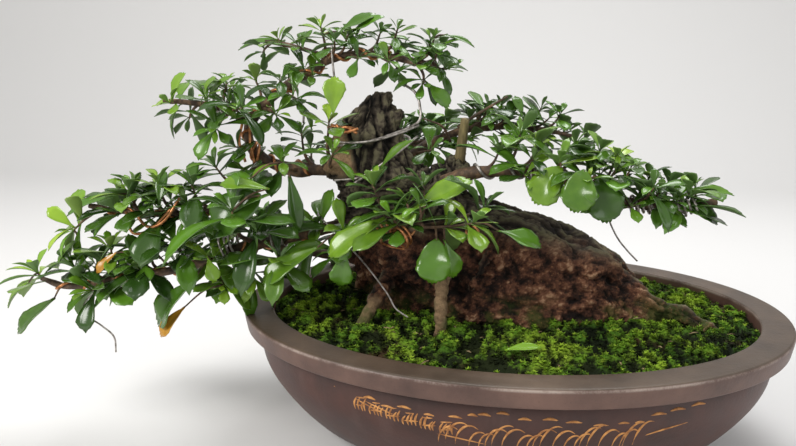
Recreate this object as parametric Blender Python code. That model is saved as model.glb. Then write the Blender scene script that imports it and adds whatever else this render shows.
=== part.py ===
"""Fukien tea bonsai, wired and grown in an oval clay pot.

Metres, +Z up. Everything is modelled about the middle of the pot, standing on z = 0,
and stand_on_origin() then moves the whole tree so that its box is centred on the origin.
"""

import math

import bmesh
import bpy
from mathutils import Matrix, Vector, noise
from mathutils.bvhtree import BVHTree

GAP = 0.0003  # clearance between pieces that touch

# Oval pot: half length, half width and height, then its wall
POT_LONG = 0.200
POT_SHORT = 0.152
POT_HEIGHT = 0.095
RIM_WIDTH = 0.0215
LIP_HEIGHT = 0.0135
FLOOR_THICKNESS = 0.008
FOOT_HEIGHT = 0.008
FOOT_INSET = 0.072  # from the rim's edge to the middle of a foot
FOOT_ANGLE = math.radians(42)
POT_SEGMENTS = 44
# Outer wall below the lip: (inset from the rim's edge, depth below the rim)
POT_BODY = [(0.0150, 0.0150), (0.0125, 0.0230), (0.0135, 0.0340), (0.0180, 0.0460),
            (0.0260, 0.0590), (0.0350, 0.0710), (0.0430, 0.0800), (0.0500, 0.0870)]
WALL = 0.0085
DRAIN_RADIUS = 0.011
DRAIN_SPACING = 0.150

# What fills the pot, as depths below the rim
GRAVEL_TOP = 0.068
SOIL_TOP = 0.017
MOSS_EDGE = 0.0075
MOSS_RISE = 0.009

# Trunk: height above the table, then its reach left, right, front and back
TRUNK_LEVELS = [
    (0.071, -0.082, 0.086, -0.032, 0.034),
    (0.080, -0.096, 0.104, -0.043, 0.048),
    (0.095, -0.104, 0.113, -0.047, 0.055),
    (0.112, -0.110, 0.101, -0.044, 0.052),
    (0.128, -0.116, 0.085, -0.041, 0.048),
    (0.141, -0.120, 0.067, -0.038, 0.044),
    (0.152, -0.124, 0.047, -0.036, 0.041),
    (0.161, -0.127, 0.024, -0.034, 0.038),
    (0.169, -0.128, -0.010, -0.032, 0.036),
    (0.181, -0.130, -0.041, -0.030, 0.033),
    (0.193, -0.132, -0.060, -0.028, 0.030),
    (0.205, -0.134, -0.072, -0.026, 0.028),
    (0.217, -0.134, -0.078, -0.024, 0.026),
    (0.229, -0.129, -0.081, -0.021, 0.023),
    (0.241, -0.122, -0.084, -0.017, 0.019),
    (0.252, -0.116, -0.088, -0.013, 0.014),
]
TRUNK_SEGMENTS = 26
FLUTE_DEPTH = 0.08  # how far the flutes swell and sink, as a fraction of the trunk's reach

# Roots that stand clear of the trunk: route, then radius at the start and at the end
ROOTS = [
    ([(-0.042, -0.024, 0.136), (-0.044, -0.054, 0.127), (-0.044, -0.066, 0.110),
      (-0.044, -0.069, 0.086)], 0.0042, 0.0030),
    ([(-0.080, -0.016, 0.126), (-0.090, -0.046, 0.112), (-0.097, -0.056, 0.099),
      (-0.103, -0.064, 0.086)], 0.0046, 0.0026),
    ([(0.078, -0.012, 0.112), (0.104, -0.016, 0.103), (0.126, -0.018, 0.096),
      (0.146, -0.024, 0.086)], 0.0085, 0.0035),
    ([(-0.060, 0.034, 0.118), (-0.070, 0.060, 0.104), (-0.080, 0.082, 0.086)], 0.0080, 0.0036),
    ([(0.030, 0.036, 0.116), (0.042, 0.062, 0.102), (0.050, 0.082, 0.086)], 0.0085, 0.0036),
]

# Branches: route from the trunk outward, then radius at the start and at the end
BRANCHES = {
    "branch_leader": ([(-0.112, -0.002, 0.194), (-0.140, -0.006, 0.194), (-0.168, -0.010, 0.196),
                       (-0.190, -0.012, 0.208), (-0.194, -0.010, 0.226), (-0.180, -0.008, 0.244),
                       (-0.155, -0.004, 0.262), (-0.130, 0.000, 0.276), (-0.105, 0.004, 0.279),
                       (-0.080, 0.008, 0.275), (-0.056, 0.010, 0.271)], 0.0048, 0.0019),
    "branch_left_low": ([(-0.108, -0.008, 0.157), (-0.138, -0.022, 0.152), (-0.166, -0.034, 0.146),
                         (-0.192, -0.044, 0.142), (-0.215, -0.052, 0.134),
                         (-0.240, -0.056, 0.126), (-0.268, -0.060, 0.121),
                         (-0.294, -0.062, 0.117), (-0.318, -0.063, 0.112),
                         (-0.340, -0.062, 0.117)], 0.0050, 0.0018),
    "branch_left_middle": ([(-0.181, -0.018, 0.193), (-0.194, -0.028, 0.184),
                            (-0.206, -0.038, 0.173), (-0.224, -0.045, 0.167),
                            (-0.250, -0.050, 0.166), (-0.276, -0.054, 0.168),
                            (-0.300, -0.057, 0.172)], 0.0034, 0.0016),
    "branch_left_back": ([(-0.098, 0.014, 0.132), (-0.128, 0.030, 0.120), (-0.160, 0.040, 0.117),
                          (-0.192, 0.050, 0.120), (-0.222, 0.058, 0.128)], 0.0046, 0.0020),
    "branch_left_high": ([(-0.199, -0.012, 0.232), (-0.214, -0.018, 0.240),
                          (-0.232, -0.024, 0.244), (-0.252, -0.028, 0.246)], 0.0024, 0.0014),
    "branch_apex_twig": ([(-0.143, 0.001, 0.279), (-0.156, 0.002, 0.283),
                          (-0.170, 0.004, 0.286), (-0.184, 0.005, 0.288)], 0.0020, 0.0012),
    "branch_right_low": ([(-0.070, -0.006, 0.176), (-0.046, -0.014, 0.190),
                          (-0.024, -0.020, 0.197), (0.006, -0.024, 0.199),
                          (0.034, -0.028, 0.196), (0.060, -0.032, 0.188), (0.086, -0.034, 0.180),
                          (0.112, -0.034, 0.178), (0.136, -0.032, 0.183)], 0.0052, 0.0018),
    "branch_right_back": ([(-0.086, 0.010, 0.196), (-0.062, 0.022, 0.212),
                           (-0.036, 0.030, 0.222), (-0.008, 0.038, 0.224),
                           (0.022, 0.044, 0.222), (0.050, 0.048, 0.216)], 0.0050, 0.0018),
    "branch_front": ([(-0.084, -0.020, 0.160), (-0.080, -0.040, 0.159), (-0.076, -0.056, 0.158),
                      (-0.068, -0.066, 0.163), (-0.056, -0.072, 0.170)], 0.0032, 0.0018),
    "branch_rear": ([(-0.100, 0.016, 0.184), (-0.098, 0.042, 0.190), (-0.092, 0.066, 0.198),
                     (-0.080, 0.088, 0.204), (-0.064, 0.104, 0.208)], 0.0044, 0.0018),
}
BRANCH_SIDES = 6

# Coils of training wire: branch, first and last fraction of its length, turns, handedness
COILS = {
    "wire_leader": ("branch_leader", 0.13, 0.86, 9, 1),
    "wire_left_low": ("branch_left_low", 0.14, 0.93, 8, -1),
    "wire_left_middle": ("branch_left_middle", 0.16, 0.90, 5, 1),
    "wire_right_low": ("branch_right_low", 0.24, 0.93, 8, 1),
    "wire_front": ("branch_front", 0.42, 0.86, 2.5, 1),
}
WIRE_RADIUS = 0.0011
COIL_POINTS = 8
WIRE_SIDES = 4

# Wire round the trunk: angle from +X in degrees, then height
TRUNK_WIRE = [(238, 0.186), (270, 0.197), (315, 0.210), (360, 0.217), (405, 0.218), (450, 0.217),
              (495, 0.214), (540, 0.212), (585, 0.214), (630, 0.217), (668, 0.222)]
# Its free end, then the straight ties, whose routes are open
TRUNK_WIRE_TAIL = [(-0.067, -0.014, 0.231), (-0.066, -0.010, 0.243), (-0.070, -0.006, 0.252),
                   (-0.078, -0.002, 0.257)]
TIES = {
    "wire_tie_left": [(-0.066, -0.068, 0.1035), (-0.075, -0.066, 0.109), (-0.082, -0.064, 0.120),
                      (-0.100, -0.058, 0.140), (-0.122, -0.048, 0.158), (-0.134, -0.036, 0.164),
                      (-0.140, -0.020, 0.1635)],
    "wire_tie_right": [(0.091, -0.014, 0.1350), (0.084, -0.013, 0.1420), (0.076, -0.014, 0.1520),
                       (0.068, -0.020, 0.1680), (0.062, -0.020, 0.1880), (0.066, -0.026, 0.1960),
                       (0.068, -0.036, 0.1950)],
    "wire_tail_left": [(-0.296, -0.0665, 0.1100), (-0.301, -0.073, 0.1030),
                       (-0.296, -0.078, 0.0960), (-0.285, -0.080, 0.0900),
                       (-0.276, -0.080, 0.0820), (-0.276, -0.079, 0.0700)],
}
TIE_RADIUS = 0.0008

# Leaf sprays: the branch each grows from, then its rosettes (place, leaves, leaf length)
SPRAYS = {
    "spray_left_low_tip": ("branch_left_low", [((-0.352, -0.062, 0.122), 6, 0.030),
                                               ((-0.330, -0.074, 0.106), 4, 0.032)]),
    "spray_left_low_upper": ("branch_left_low", [((-0.318, -0.052, 0.134), 6, 0.026),
                                                 ((-0.290, -0.056, 0.138), 5, 0.026)]),
    "spray_left_low_hanging": ("branch_left_low", [((-0.246, -0.084, 0.112), 6, 0.030)]),
    "spray_left_low_middle": ("branch_left_low", [((-0.256, -0.050, 0.146), 6, 0.027),
                                                  ((-0.262, -0.034, 0.128), 4, 0.026)]),
    "spray_left_low_front": ("branch_left_low", [((-0.206, -0.078, 0.134), 6, 0.030),
                                                 ((-0.172, -0.066, 0.138), 6, 0.036)]),
    "spray_left_low_top": ("branch_left_low", [((-0.186, -0.052, 0.160), 6, 0.028),
                                               ((-0.222, -0.028, 0.142), 6, 0.027)]),
    "spray_left_middle_tip": ("branch_left_middle", [((-0.312, -0.058, 0.178), 6, 0.028),
                                                     ((-0.284, -0.042, 0.182), 5, 0.026)]),
    "spray_left_middle_top": ("branch_left_middle", [((-0.252, -0.046, 0.194), 7, 0.027),
                                                     ((-0.216, -0.034, 0.192), 6, 0.026)]),
    "spray_left_middle_front": ("branch_left_middle", [((-0.262, -0.070, 0.162), 5, 0.028),
                                                       ((-0.226, -0.068, 0.166), 4, 0.026)]),
    "spray_left_back_tip": ("branch_left_back", [((-0.238, 0.062, 0.138), 7, 0.028)]),
    "spray_left_back_top": ("branch_left_back", [((-0.192, 0.054, 0.140), 6, 0.027),
                                                 ((-0.172, 0.072, 0.130), 5, 0.027)]),
    "spray_left_high": ("branch_left_high", [((-0.262, -0.029, 0.252), 7, 0.026),
                                             ((-0.240, -0.044, 0.238), 5, 0.026)]),
    "spray_leader_elbow": ("branch_leader", [((-0.212, 0.006, 0.222), 6, 0.026)]),
    "spray_leader_outer": ("branch_leader", [((-0.198, 0.004, 0.266), 7, 0.025)]),
    "spray_leader_inner": ("branch_leader", [((-0.158, -0.028, 0.232), 7, 0.026),
                                             ((-0.140, -0.046, 0.212), 5, 0.026)]),
    "spray_apex_twig": ("branch_apex_twig", [((-0.192, 0.005, 0.293), 5, 0.024)]),
    "spray_apex_top": ("branch_leader", [((-0.134, -0.002, 0.298), 7, 0.024)]),
    "spray_apex_front": ("branch_leader", [((-0.112, -0.022, 0.288), 6, 0.024),
                                           ((-0.130, -0.032, 0.268), 4, 0.024)]),
    "spray_apex_right": ("branch_leader", [((-0.084, 0.006, 0.294), 6, 0.024),
                                           ((-0.060, -0.014, 0.282), 5, 0.026),
                                           ((-0.042, 0.010, 0.270), 7, 0.026)]),
    "spray_right_low_base": ("branch_right_low", [((-0.034, -0.014, 0.216), 6, 0.026)]),
    "spray_right_low_top": ("branch_right_low", [((0.010, -0.020, 0.216), 6, 0.028),
                                                 ((0.036, -0.006, 0.216), 5, 0.028)]),
    "spray_right_low_front": ("branch_right_low", [((0.032, -0.056, 0.196), 6, 0.032)]),
    "spray_right_low_middle": ("branch_right_low", [((0.074, -0.022, 0.206), 7, 0.028)]),
    "spray_right_low_tip": ("branch_right_low", [((0.146, -0.032, 0.186), 5, 0.026),
                                                 ((0.116, -0.046, 0.178), 5, 0.026)]),
    "spray_right_back_top": ("branch_right_back", [((-0.018, 0.036, 0.244), 7, 0.026)]),
    "spray_right_back_tip": ("branch_right_back", [((0.060, 0.050, 0.226), 7, 0.027),
                                                   ((0.030, 0.066, 0.224), 5, 0.027)]),
    "spray_front": ("branch_front", [((-0.050, -0.078, 0.180), 6, 0.040),
                                     ((-0.066, -0.084, 0.160), 5, 0.036)]),
    "spray_rear": ("branch_rear", [((-0.056, 0.108, 0.216), 7, 0.028),
                                   ((-0.096, 0.092, 0.214), 6, 0.027)]),
}
TWIG_RADIUS = 0.0010
TWIG_SIDES = 4
GOLDEN_ANGLE = math.radians(137.508)
LEAF_SPACING = 0.0016
LEAF_THICKNESS = 0.0007
# Half outline of a leaf: (fraction of length, half width as a fraction of length)
LEAF_OUTLINE = [(-0.02, 0.020), (0.66, 0.235), (1.00, 0.110)]


def clear_scene():
    """Remove whatever the opened file holds."""
    for item in list(bpy.data.objects):
        bpy.data.objects.remove(item, do_unlink=True)


def material(name, colour, roughness, metallic=0.0):
    """A plain Principled material."""
    made = bpy.data.materials.new(name)
    made.use_nodes = True
    shader = made.node_tree.nodes["Principled BSDF"]
    shader.inputs["Base Color"].default_value = (*colour, 1.0)
    shader.inputs["Roughness"].default_value = roughness
    shader.inputs["Metallic"].default_value = metallic
    return made


def add_object(name, bm, made_of):
    """Turn a bmesh into a named object with its own material."""
    mesh = bpy.data.meshes.new(name)
    bm.to_mesh(mesh)
    bm.free()
    mesh.shade_smooth()
    mesh.set_sharp_from_angle(angle=math.radians(40))
    mesh.materials.append(made_of)
    piece = bpy.data.objects.new(name, mesh)
    bpy.context.scene.collection.objects.link(piece)
    return piece


def bent_grid(around, along, place):
    """A grid closed round its first direction, each corner put at place(u, v), ends capped.

    The faces are made triangles, because a Boolean bends one that isn't flat.
    """
    bm = bmesh.new()
    bmesh.ops.create_grid(bm, x_segments=around, y_segments=along, size=0.5)
    for vertex in bm.verts:
        vertex.co = place(vertex.co.x + 0.5, vertex.co.y + 0.5)
    bmesh.ops.remove_doubles(bm, verts=bm.verts, dist=1e-6)
    bmesh.ops.holes_fill(bm, edges=[edge for edge in bm.edges if edge.is_boundary])
    bmesh.ops.triangulate(bm, faces=bm.faces)
    bmesh.ops.recalc_face_normals(bm, faces=bm.faces)
    return bm


def as_cutter(bm, name, collection=None):
    """An object that is only used by Booleans."""
    mesh = bpy.data.meshes.new(name)
    bm.to_mesh(mesh)
    bm.free()
    cutter = bpy.data.objects.new(name, mesh)
    (collection or bpy.context.scene.collection).objects.link(cutter)
    cutter.hide_render = True
    cutter.display_type = "WIRE"
    return cutter


def boolean(piece, other, operation):
    """Cut or join a piece with another object, kept as a modifier."""
    modifier = piece.modifiers.new(operation.title(), "BOOLEAN")
    modifier.operation = operation
    modifier.solver = "EXACT"
    modifier.object = other
    return modifier


def boolean_all(piece, collection, operation):
    """Cut or join a piece with every object of a collection."""
    modifier = piece.modifiers.new(operation.title(), "BOOLEAN")
    modifier.operation = operation
    modifier.solver = "EXACT"
    modifier.operand_type = "COLLECTION"
    modifier.collection = collection
    return modifier


def smooth_route(points, steps):
    """Points along a Catmull-Rom curve through a route."""
    knots = [Vector(point) for point in points]
    knots = [2 * knots[0] - knots[1], *knots, 2 * knots[-1] - knots[-2]]
    route = []
    for a, b, c, d in zip(knots, knots[1:], knots[2:], knots[3:]):
        for step in range(steps):
            t = step / steps
            route.append(0.5 * (2 * b + (c - a) * t + (2 * a - 5 * b + 4 * c - d) * t * t
                                + (3 * b - 3 * c + d - a) * t * t * t))
    route.append(knots[-2])
    return route


def frames(route):
    """Tangent and two sides at each point of a route, turned as little as possible."""
    tangents = []
    for i in range(len(route)):
        before = route[max(i - 1, 0)]
        after = route[min(i + 1, len(route) - 1)]
        tangents.append((after - before).normalized())
    side = tangents[0].orthogonal().normalized()
    result = []
    for i, tangent in enumerate(tangents):
        if i:
            side = tangents[i - 1].rotation_difference(tangent) @ side
        side = (side - tangent * side.dot(tangent)).normalized()
        result.append((tangent, side, tangent.cross(side)))
    return result


def tube(route, radii, sides):
    """A closed tube along a route, with a radius for each of its points."""
    axes = frames(route)

    def place(u, v):
        i = round(v * (len(route) - 1))
        angle = math.tau * u
        _, side, other = axes[i]
        return route[i] + radii[i] * (math.cos(angle) * side + math.sin(angle) * other)

    return bent_grid(sides, len(route) - 1, place)


def taper(start, end, count):
    """Radii that fall evenly from start to end."""
    return [start + (end - start) * i / (count - 1) for i in range(count)]


def ellipse_loft(profile, segments):
    """A closed body with oval sections: profile lists (half length, half width, height)."""

    def place(u, v):
        long_half, short_half, height = profile[round(v * (len(profile) - 1))]
        angle = math.tau * u
        return Vector((long_half * math.cos(angle), short_half * math.sin(angle), height))

    return bent_grid(segments, len(profile) - 1, place)


def inset_ring(inset, depth):
    """One oval of the pot, given as an inset from the rim's edge and a depth below it."""
    return (POT_LONG - inset, POT_SHORT - inset, POT_HEIGHT - depth)


def inner_inset(depth):
    """How far the pot's inner wall stands in from the rim's outer edge at a depth."""
    outer = [(depth_, inset) for inset, depth_ in POT_BODY]
    if depth <= outer[1][0]:
        return RIM_WIDTH
    for (d0, i0), (d1, i1) in zip(outer[1:], outer[2:]):
        if depth <= d1:
            return i0 + (i1 - i0) * (depth - d0) / (d1 - d0) + WALL
    return outer[-1][1] + WALL


def make_pot(clay):
    """The bowl with its rolled lip and drain holes."""
    edge = 0.0012
    floor_depth = POT_BODY[-1][1] - FLOOR_THICKNESS
    profile = [(0.0, 0.0, POT_HEIGHT - POT_BODY[-1][1])]
    profile += [inset_ring(inset, depth) for inset, depth in reversed(POT_BODY)]
    profile += [inset_ring(0.0024, LIP_HEIGHT), inset_ring(0.0012, LIP_HEIGHT - edge),
                inset_ring(0.0, edge), inset_ring(edge, 0.0)]
    profile += [inset_ring(RIM_WIDTH - edge, 0.0), inset_ring(RIM_WIDTH, edge)]
    depths = [0.023, 0.034, 0.046, 0.059, 0.071, floor_depth]
    profile += [inset_ring(inner_inset(depth), depth) for depth in depths]
    profile += [(0.0, 0.0, POT_HEIGHT - floor_depth)]
    pot = add_object("pot", ellipse_loft(profile, POT_SEGMENTS), clay)

    drains = bpy.data.collections.new("pot_drains")
    for side in (-1, 1):
        drain = bmesh.new()
        bmesh.ops.create_cone(drain, cap_ends=True, segments=16, radius1=DRAIN_RADIUS,
                              radius2=DRAIN_RADIUS, depth=0.04,
                              matrix=Matrix.Translation((side * DRAIN_SPACING / 2, 0, 0.012)))
        as_cutter(drain, f"pot_drain_{side + 1}", drains)
    boolean_all(pot, drains, "DIFFERENCE")
    return pot


def make_feet(clay):
    """Four low clay feet under the bowl, each a piece of its own."""
    height = FOOT_HEIGHT - GAP
    for side, label in ((-1, "left"), (1, "right")):
        for depth, place in ((-1, "front"), (1, "back")):
            foot = bmesh.new()
            bmesh.ops.create_cube(foot, size=1.0)
            bmesh.ops.scale(foot, verts=foot.verts, vec=(0.044, 0.015, height))
            upright = [edge for edge in foot.edges
                       if abs(edge.verts[0].co.z - edge.verts[1].co.z) > 0.001]
            bmesh.ops.bevel(foot, geom=upright, offset=0.005, segments=2, affect="EDGES",
                            profile=0.5)
            x = side * (POT_LONG - FOOT_INSET) * math.cos(FOOT_ANGLE)
            y = depth * (POT_SHORT - FOOT_INSET) * math.sin(FOOT_ANGLE)
            slope = math.atan2(side * POT_SHORT * math.cos(FOOT_ANGLE),
                               -depth * POT_LONG * math.sin(FOOT_ANGLE))
            bmesh.ops.transform(foot, verts=foot.verts,
                                matrix=Matrix.Translation((x, y, height / 2))
                                @ Matrix.Rotation(slope, 4, "Z"))
            bmesh.ops.recalc_face_normals(foot, faces=foot.faces)
            add_object(f"foot_{place}_{label}", foot, clay)


def trunk_place(u, level, swell=0.0):
    """A point of the trunk's skin: angle fraction, row of TRUNK_LEVELS, extra thickness."""
    height, left, right, front, back = TRUNK_LEVELS[level]
    angle = math.tau * u
    middle_x = (left + right) / 2
    middle_y = (front + back) / 2
    flute = 1 + FLUTE_DEPTH * (0.6 * math.sin(5 * angle + height * 40)
                               + 0.4 * math.sin(9 * angle - height * 70))
    if level == len(TRUNK_LEVELS) - 1:
        flute = 1.0
    reach_x = (right - left) / 2 * flute + swell
    reach_y = (back - front) / 2 * flute + swell
    return Vector((middle_x + reach_x * math.cos(angle), middle_y + reach_y * math.sin(angle),
                   height))


def trunk_body(swell=0.0):
    """The trunk's main mass, as a stack of fluted ovals."""
    last = len(TRUNK_LEVELS) - 1

    def place(u, v):
        level = round(v * last)
        point = trunk_place(u, level, swell)
        if level == 0:
            point.z -= swell
        if level == last:
            point.z += swell
        return point

    return bent_grid(TRUNK_SEGMENTS, last, place)


def root_bodies(swell, collection, label):
    """The free roots as tapered tubes."""
    for number, (route, start, end) in enumerate(ROOTS):
        path = smooth_route(route, 3)
        radii = [radius + swell for radius in taper(start, end, len(path))]
        direction = (path[-1] - path[-2]).normalized()
        path[-1] = path[-1] + direction * swell
        as_cutter(tube(path, radii, 7), f"{label}_{number}", collection)


def make_trunk(bark):
    """Trunk, root flare and roots, which grew as one piece."""
    trunk = add_object("trunk", trunk_body(), bark)
    roots = bpy.data.collections.new("roots")
    root_bodies(0.0, roots, "root")
    boolean_all(trunk, roots, "UNION")
    return trunk


def fat_trunk():
    """A slightly fatter trunk with roots, which leaves the clearance round the real one."""
    swell = 3 * GAP
    cutter = as_cutter(trunk_body(swell), "trunk_cutter")
    roots = bpy.data.collections.new("root_cutters")
    root_bodies(swell, roots, "root_cutter")
    boolean_all(cutter, roots, "UNION")
    settle(cutter)
    return cutter


def make_filling(trunk_cut, gravel_stuff, soil_stuff, moss_stuff):
    """Drainage gravel, soil and the moss carpet, each resting on the one below."""
    floor_depth = POT_BODY[-1][1] - FLOOR_THICKNESS

    def fill_ring(depth):
        return inset_ring(inner_inset(depth) + 2 * GAP, depth)

    bottom = floor_depth - GAP
    rings = [fill_ring(depth) for depth in (bottom, 0.071, GRAVEL_TOP)]
    rings[0] = (rings[0][0] - 0.001, rings[0][1] - 0.001, rings[0][2])
    gravel = [(0, 0, rings[0][2]), *rings, (0, 0, rings[-1][2])]
    gravel_layer = add_object("gravel_layer", ellipse_loft(gravel, POT_SEGMENTS), gravel_stuff)

    rings = [fill_ring(depth) for depth in (GRAVEL_TOP - GAP, 0.059, 0.046, 0.034, SOIL_TOP)]
    soil = [(0, 0, rings[0][2]), *rings, (0, 0, rings[-1][2])]
    soil_ball = add_object("soil", ellipse_loft(soil, POT_SEGMENTS), soil_stuff)

    rows = 7

    def moss_place(u, v):
        """Bottom middle, out to the edge, up, and back in over the lumpy top."""
        row = round(v * (rows + 2))
        angle = math.tau * u
        inset = RIM_WIDTH + 2 * GAP
        if row < 2:
            reach = float(row)
            height = POT_HEIGHT - SOIL_TOP + GAP
        else:
            reach = 1 - (row - 2) / rows
            height = moss_height(reach * math.cos(angle), reach * math.sin(angle))
        return Vector((reach * (POT_LONG - inset) * math.cos(angle),
                       reach * (POT_SHORT - inset) * math.sin(angle), height))

    moss = add_object("moss", bent_grid(36, rows + 2, moss_place), moss_stuff)
    boolean(soil_ball, trunk_cut, "DIFFERENCE")
    boolean(moss, trunk_cut, "DIFFERENCE")
    return gravel_layer


def moss_height(x, y):
    """Height of the moss over the pot, x and y running from -1 to 1 across it."""
    rise = 1 - min(1.0, x * x + y * y)
    lumps = noise.noise(Vector((x * 7, y * 6, 3.1))) * 0.004
    return POT_HEIGHT - MOSS_EDGE + MOSS_RISE * rise ** 0.6 + lumps * min(1.0, 4 * rise)


def make_screens(gravel_layer, plastic, steel):
    """Mesh screens over the drain holes, each held by a bent wire clip."""
    floor_top = POT_HEIGHT - POT_BODY[-1][1] + FLOOR_THICKNESS
    thickness = 0.0012
    pockets = bpy.data.collections.new("screen_pockets")
    for side, label in ((-1, "left"), (1, "right")):
        middle = Vector((side * DRAIN_SPACING / 2, 0, floor_top + GAP + thickness / 2))
        screen = bmesh.new()
        bmesh.ops.create_cube(screen, size=1.0, matrix=Matrix.Translation(middle)
                              @ Matrix.Diagonal((0.036, 0.036, thickness, 1)))
        plate = add_object(f"drain_screen_{label}", screen, plastic)
        holes = bpy.data.collections.new(f"screen_holes_{label}")
        for i in range(3):
            for j in range(3):
                hole = bmesh.new()
                offset = Vector((0.009 * (i - 1), 0.009 * (j - 1), 0))
                bmesh.ops.create_cube(hole, size=1.0, matrix=Matrix.Translation(middle + offset)
                                      @ Matrix.Diagonal((0.0065, 0.0065, 0.01, 1)))
                as_cutter(hole, f"screen_hole_{label}_{i}{j}", holes)
        boolean_all(plate, holes, "DIFFERENCE")

        pocket = bmesh.new()
        bmesh.ops.create_cube(pocket, size=1.0, matrix=Matrix.Translation(middle)
                              @ Matrix.Diagonal((0.038, 0.038, 0.0065, 1)))
        as_cutter(pocket, f"screen_pocket_{label}", pockets)

        wire = 0.0006
        top = middle.z + thickness / 2 + wire + GAP
        under = POT_HEIGHT - POT_BODY[-1][1] - wire - GAP
        half = 0.0085
        route = [(-half - 0.008, under), (-half - 0.001, under), (-half, under + 0.001),
                 (-half, top - 0.001), (-half + 0.001, top), (half - 0.001, top),
                 (half, top - 0.001), (half, under + 0.001), (half + 0.001, under),
                 (half + 0.008, under)]
        points = [Vector((middle.x + x, 0, z)) for x, z in route]
        add_object(f"screen_clip_{label}", tube(points, [wire] * len(points), 6), steel)
    boolean_all(gravel_layer, pockets, "DIFFERENCE")


def settle(piece):
    """Keep what the Booleans made as the piece's own mesh."""
    graph = bpy.context.evaluated_depsgraph_get()
    cut = bpy.data.meshes.new_from_object(piece.evaluated_get(graph), depsgraph=graph)
    piece.modifiers.clear()
    piece.data = cut


def nearest_on(route, target):
    """Index of the route point nearest to a target."""
    return min(range(len(route)), key=lambda i: (route[i] - target).length)


def make_branches(bark, trunk_cut):
    """Every branch as a tapered tube whose base is shaped to the trunk."""
    made = {}
    for name, (points, start, end) in BRANCHES.items():
        route = smooth_route(points, 3)
        radii = taper(start, end, len(route))
        branch = add_object(name, tube(route, radii, BRANCH_SIDES), bark)
        if (route[0] - Vector((-0.1, 0, route[0].z))).length < 0.05:
            boolean(branch, trunk_cut, "DIFFERENCE")
        made[name] = (route, radii)
    return made


def coil_route(route, radii, first, last, turns, hand):
    """A helix that hugs a branch."""
    axes = frames(route)
    count = round(turns * COIL_POINTS)
    points = []
    for i in range(count + 1):
        along = (first + (last - first) * i / count) * (len(route) - 1)
        low = min(int(along), len(route) - 2)
        part = along - low
        centre = route[low].lerp(route[low + 1], part)
        side = axes[low][1].lerp(axes[low + 1][1], part)
        other = axes[low][2].lerp(axes[low + 1][2], part)
        radius = radii[low] + (radii[low + 1] - radii[low]) * part
        reach = (radius + WIRE_RADIUS + 2 * GAP) / math.cos(math.pi / COIL_POINTS)
        angle = hand * math.tau * i / COIL_POINTS
        points.append(centre + reach * (math.cos(angle) * side + math.sin(angle) * other))
    return points


def trunk_side(angle, height, clearance):
    """A point beside the trunk, clear of its flutes."""
    levels = [row[0] for row in TRUNK_LEVELS]
    level = max(i for i in range(len(levels) - 1) if levels[i] <= height)
    part = (height - levels[level]) / (levels[level + 1] - levels[level])
    left, right, front, back = (low + (high - low) * part for low, high in
                                zip(TRUNK_LEVELS[level][1:], TRUNK_LEVELS[level + 1][1:]))
    reach_x = (right - left) / 2 * (1 + FLUTE_DEPTH) + clearance
    reach_y = (back - front) / 2 * (1 + FLUTE_DEPTH) + clearance
    return Vector(((left + right) / 2 + reach_x * math.cos(angle),
                   (front + back) / 2 + reach_y * math.sin(angle), height))


def trunk_turns():
    """Points every few degrees round the trunk, between the heights of TRUNK_WIRE."""
    points = []
    for (angle, height), (next_angle, next_height) in zip(TRUNK_WIRE, TRUNK_WIRE[1:]):
        steps = round((next_angle - angle) / 20)
        for step in range(steps):
            part = step / steps
            points.append(trunk_side(math.radians(angle + (next_angle - angle) * part),
                                     height + (next_height - height) * part,
                                     WIRE_RADIUS + 2 * GAP))
    return points


def make_wires(branches, copper):
    """Training wire: coils on the branches, two turns round the trunk, and the ties."""
    for name, (branch, first, last, turns, hand) in COILS.items():
        route, radii = branches[branch]
        points = coil_route(route, radii, first, last, turns, hand)
        add_object(name, tube(points, [WIRE_RADIUS] * len(points), WIRE_SIDES), copper)

    tail = smooth_route(TRUNK_WIRE_TAIL, 3)
    route = [*trunk_turns(), *tail]
    add_object("wire_trunk", tube(route, [WIRE_RADIUS] * len(route), WIRE_SIDES), copper)
    for name, points in TIES.items():
        route = smooth_route(points, 3)
        add_object(name, tube(route, [TIE_RADIUS] * len(route), WIRE_SIDES), copper)


def leaf_body(base, heading, face, length):
    """One thin, slightly folded and drooping leaf with a lens-shaped section."""
    across = heading.cross(face).normalized()
    upward = across.cross(heading).normalized()
    outline = [(s, w) for s, w in LEAF_OUTLINE] + [(s, -w) for s, w in reversed(LEAF_OUTLINE)]
    bm = bmesh.new()

    def at(s, w, lift):
        sag = -0.10 * s * s
        return base + length * (s * heading + w * across + sag * upward) + lift * upward

    rim = [bm.verts.new(at(s, w, 0.14 * abs(w) * length)) for s, w in outline]
    top = bm.verts.new(at(0.55, 0, LEAF_THICKNESS))
    bottom = bm.verts.new(at(0.55, 0, -LEAF_THICKNESS))
    for a, b in zip(rim, rim[1:] + rim[:1]):
        bm.faces.new((top, a, b))
        bm.faces.new((bottom, b, a))
    bmesh.ops.recalc_face_normals(bm, faces=bm.faces)
    return bm


def tree_of(piece):
    """Search tree of an object as the viewport shows it."""
    graph = bpy.context.evaluated_depsgraph_get()
    return BVHTree.FromObject(piece, graph)


def touches(bm, obstacles):
    """Whether a bmesh runs into any obstacle."""
    probe = BVHTree.FromBMesh(bm)
    return any(probe.overlap(tree) for tree in obstacles)


def twig_route(start, away, target):
    """A short twig that leaves its branch squarely and turns towards a place."""
    reach = (target - start).length
    bend = start + away * min(0.006, 0.4 * reach)
    return smooth_route([start, bend, bend.lerp(target, 0.55), target], 2)


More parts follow.
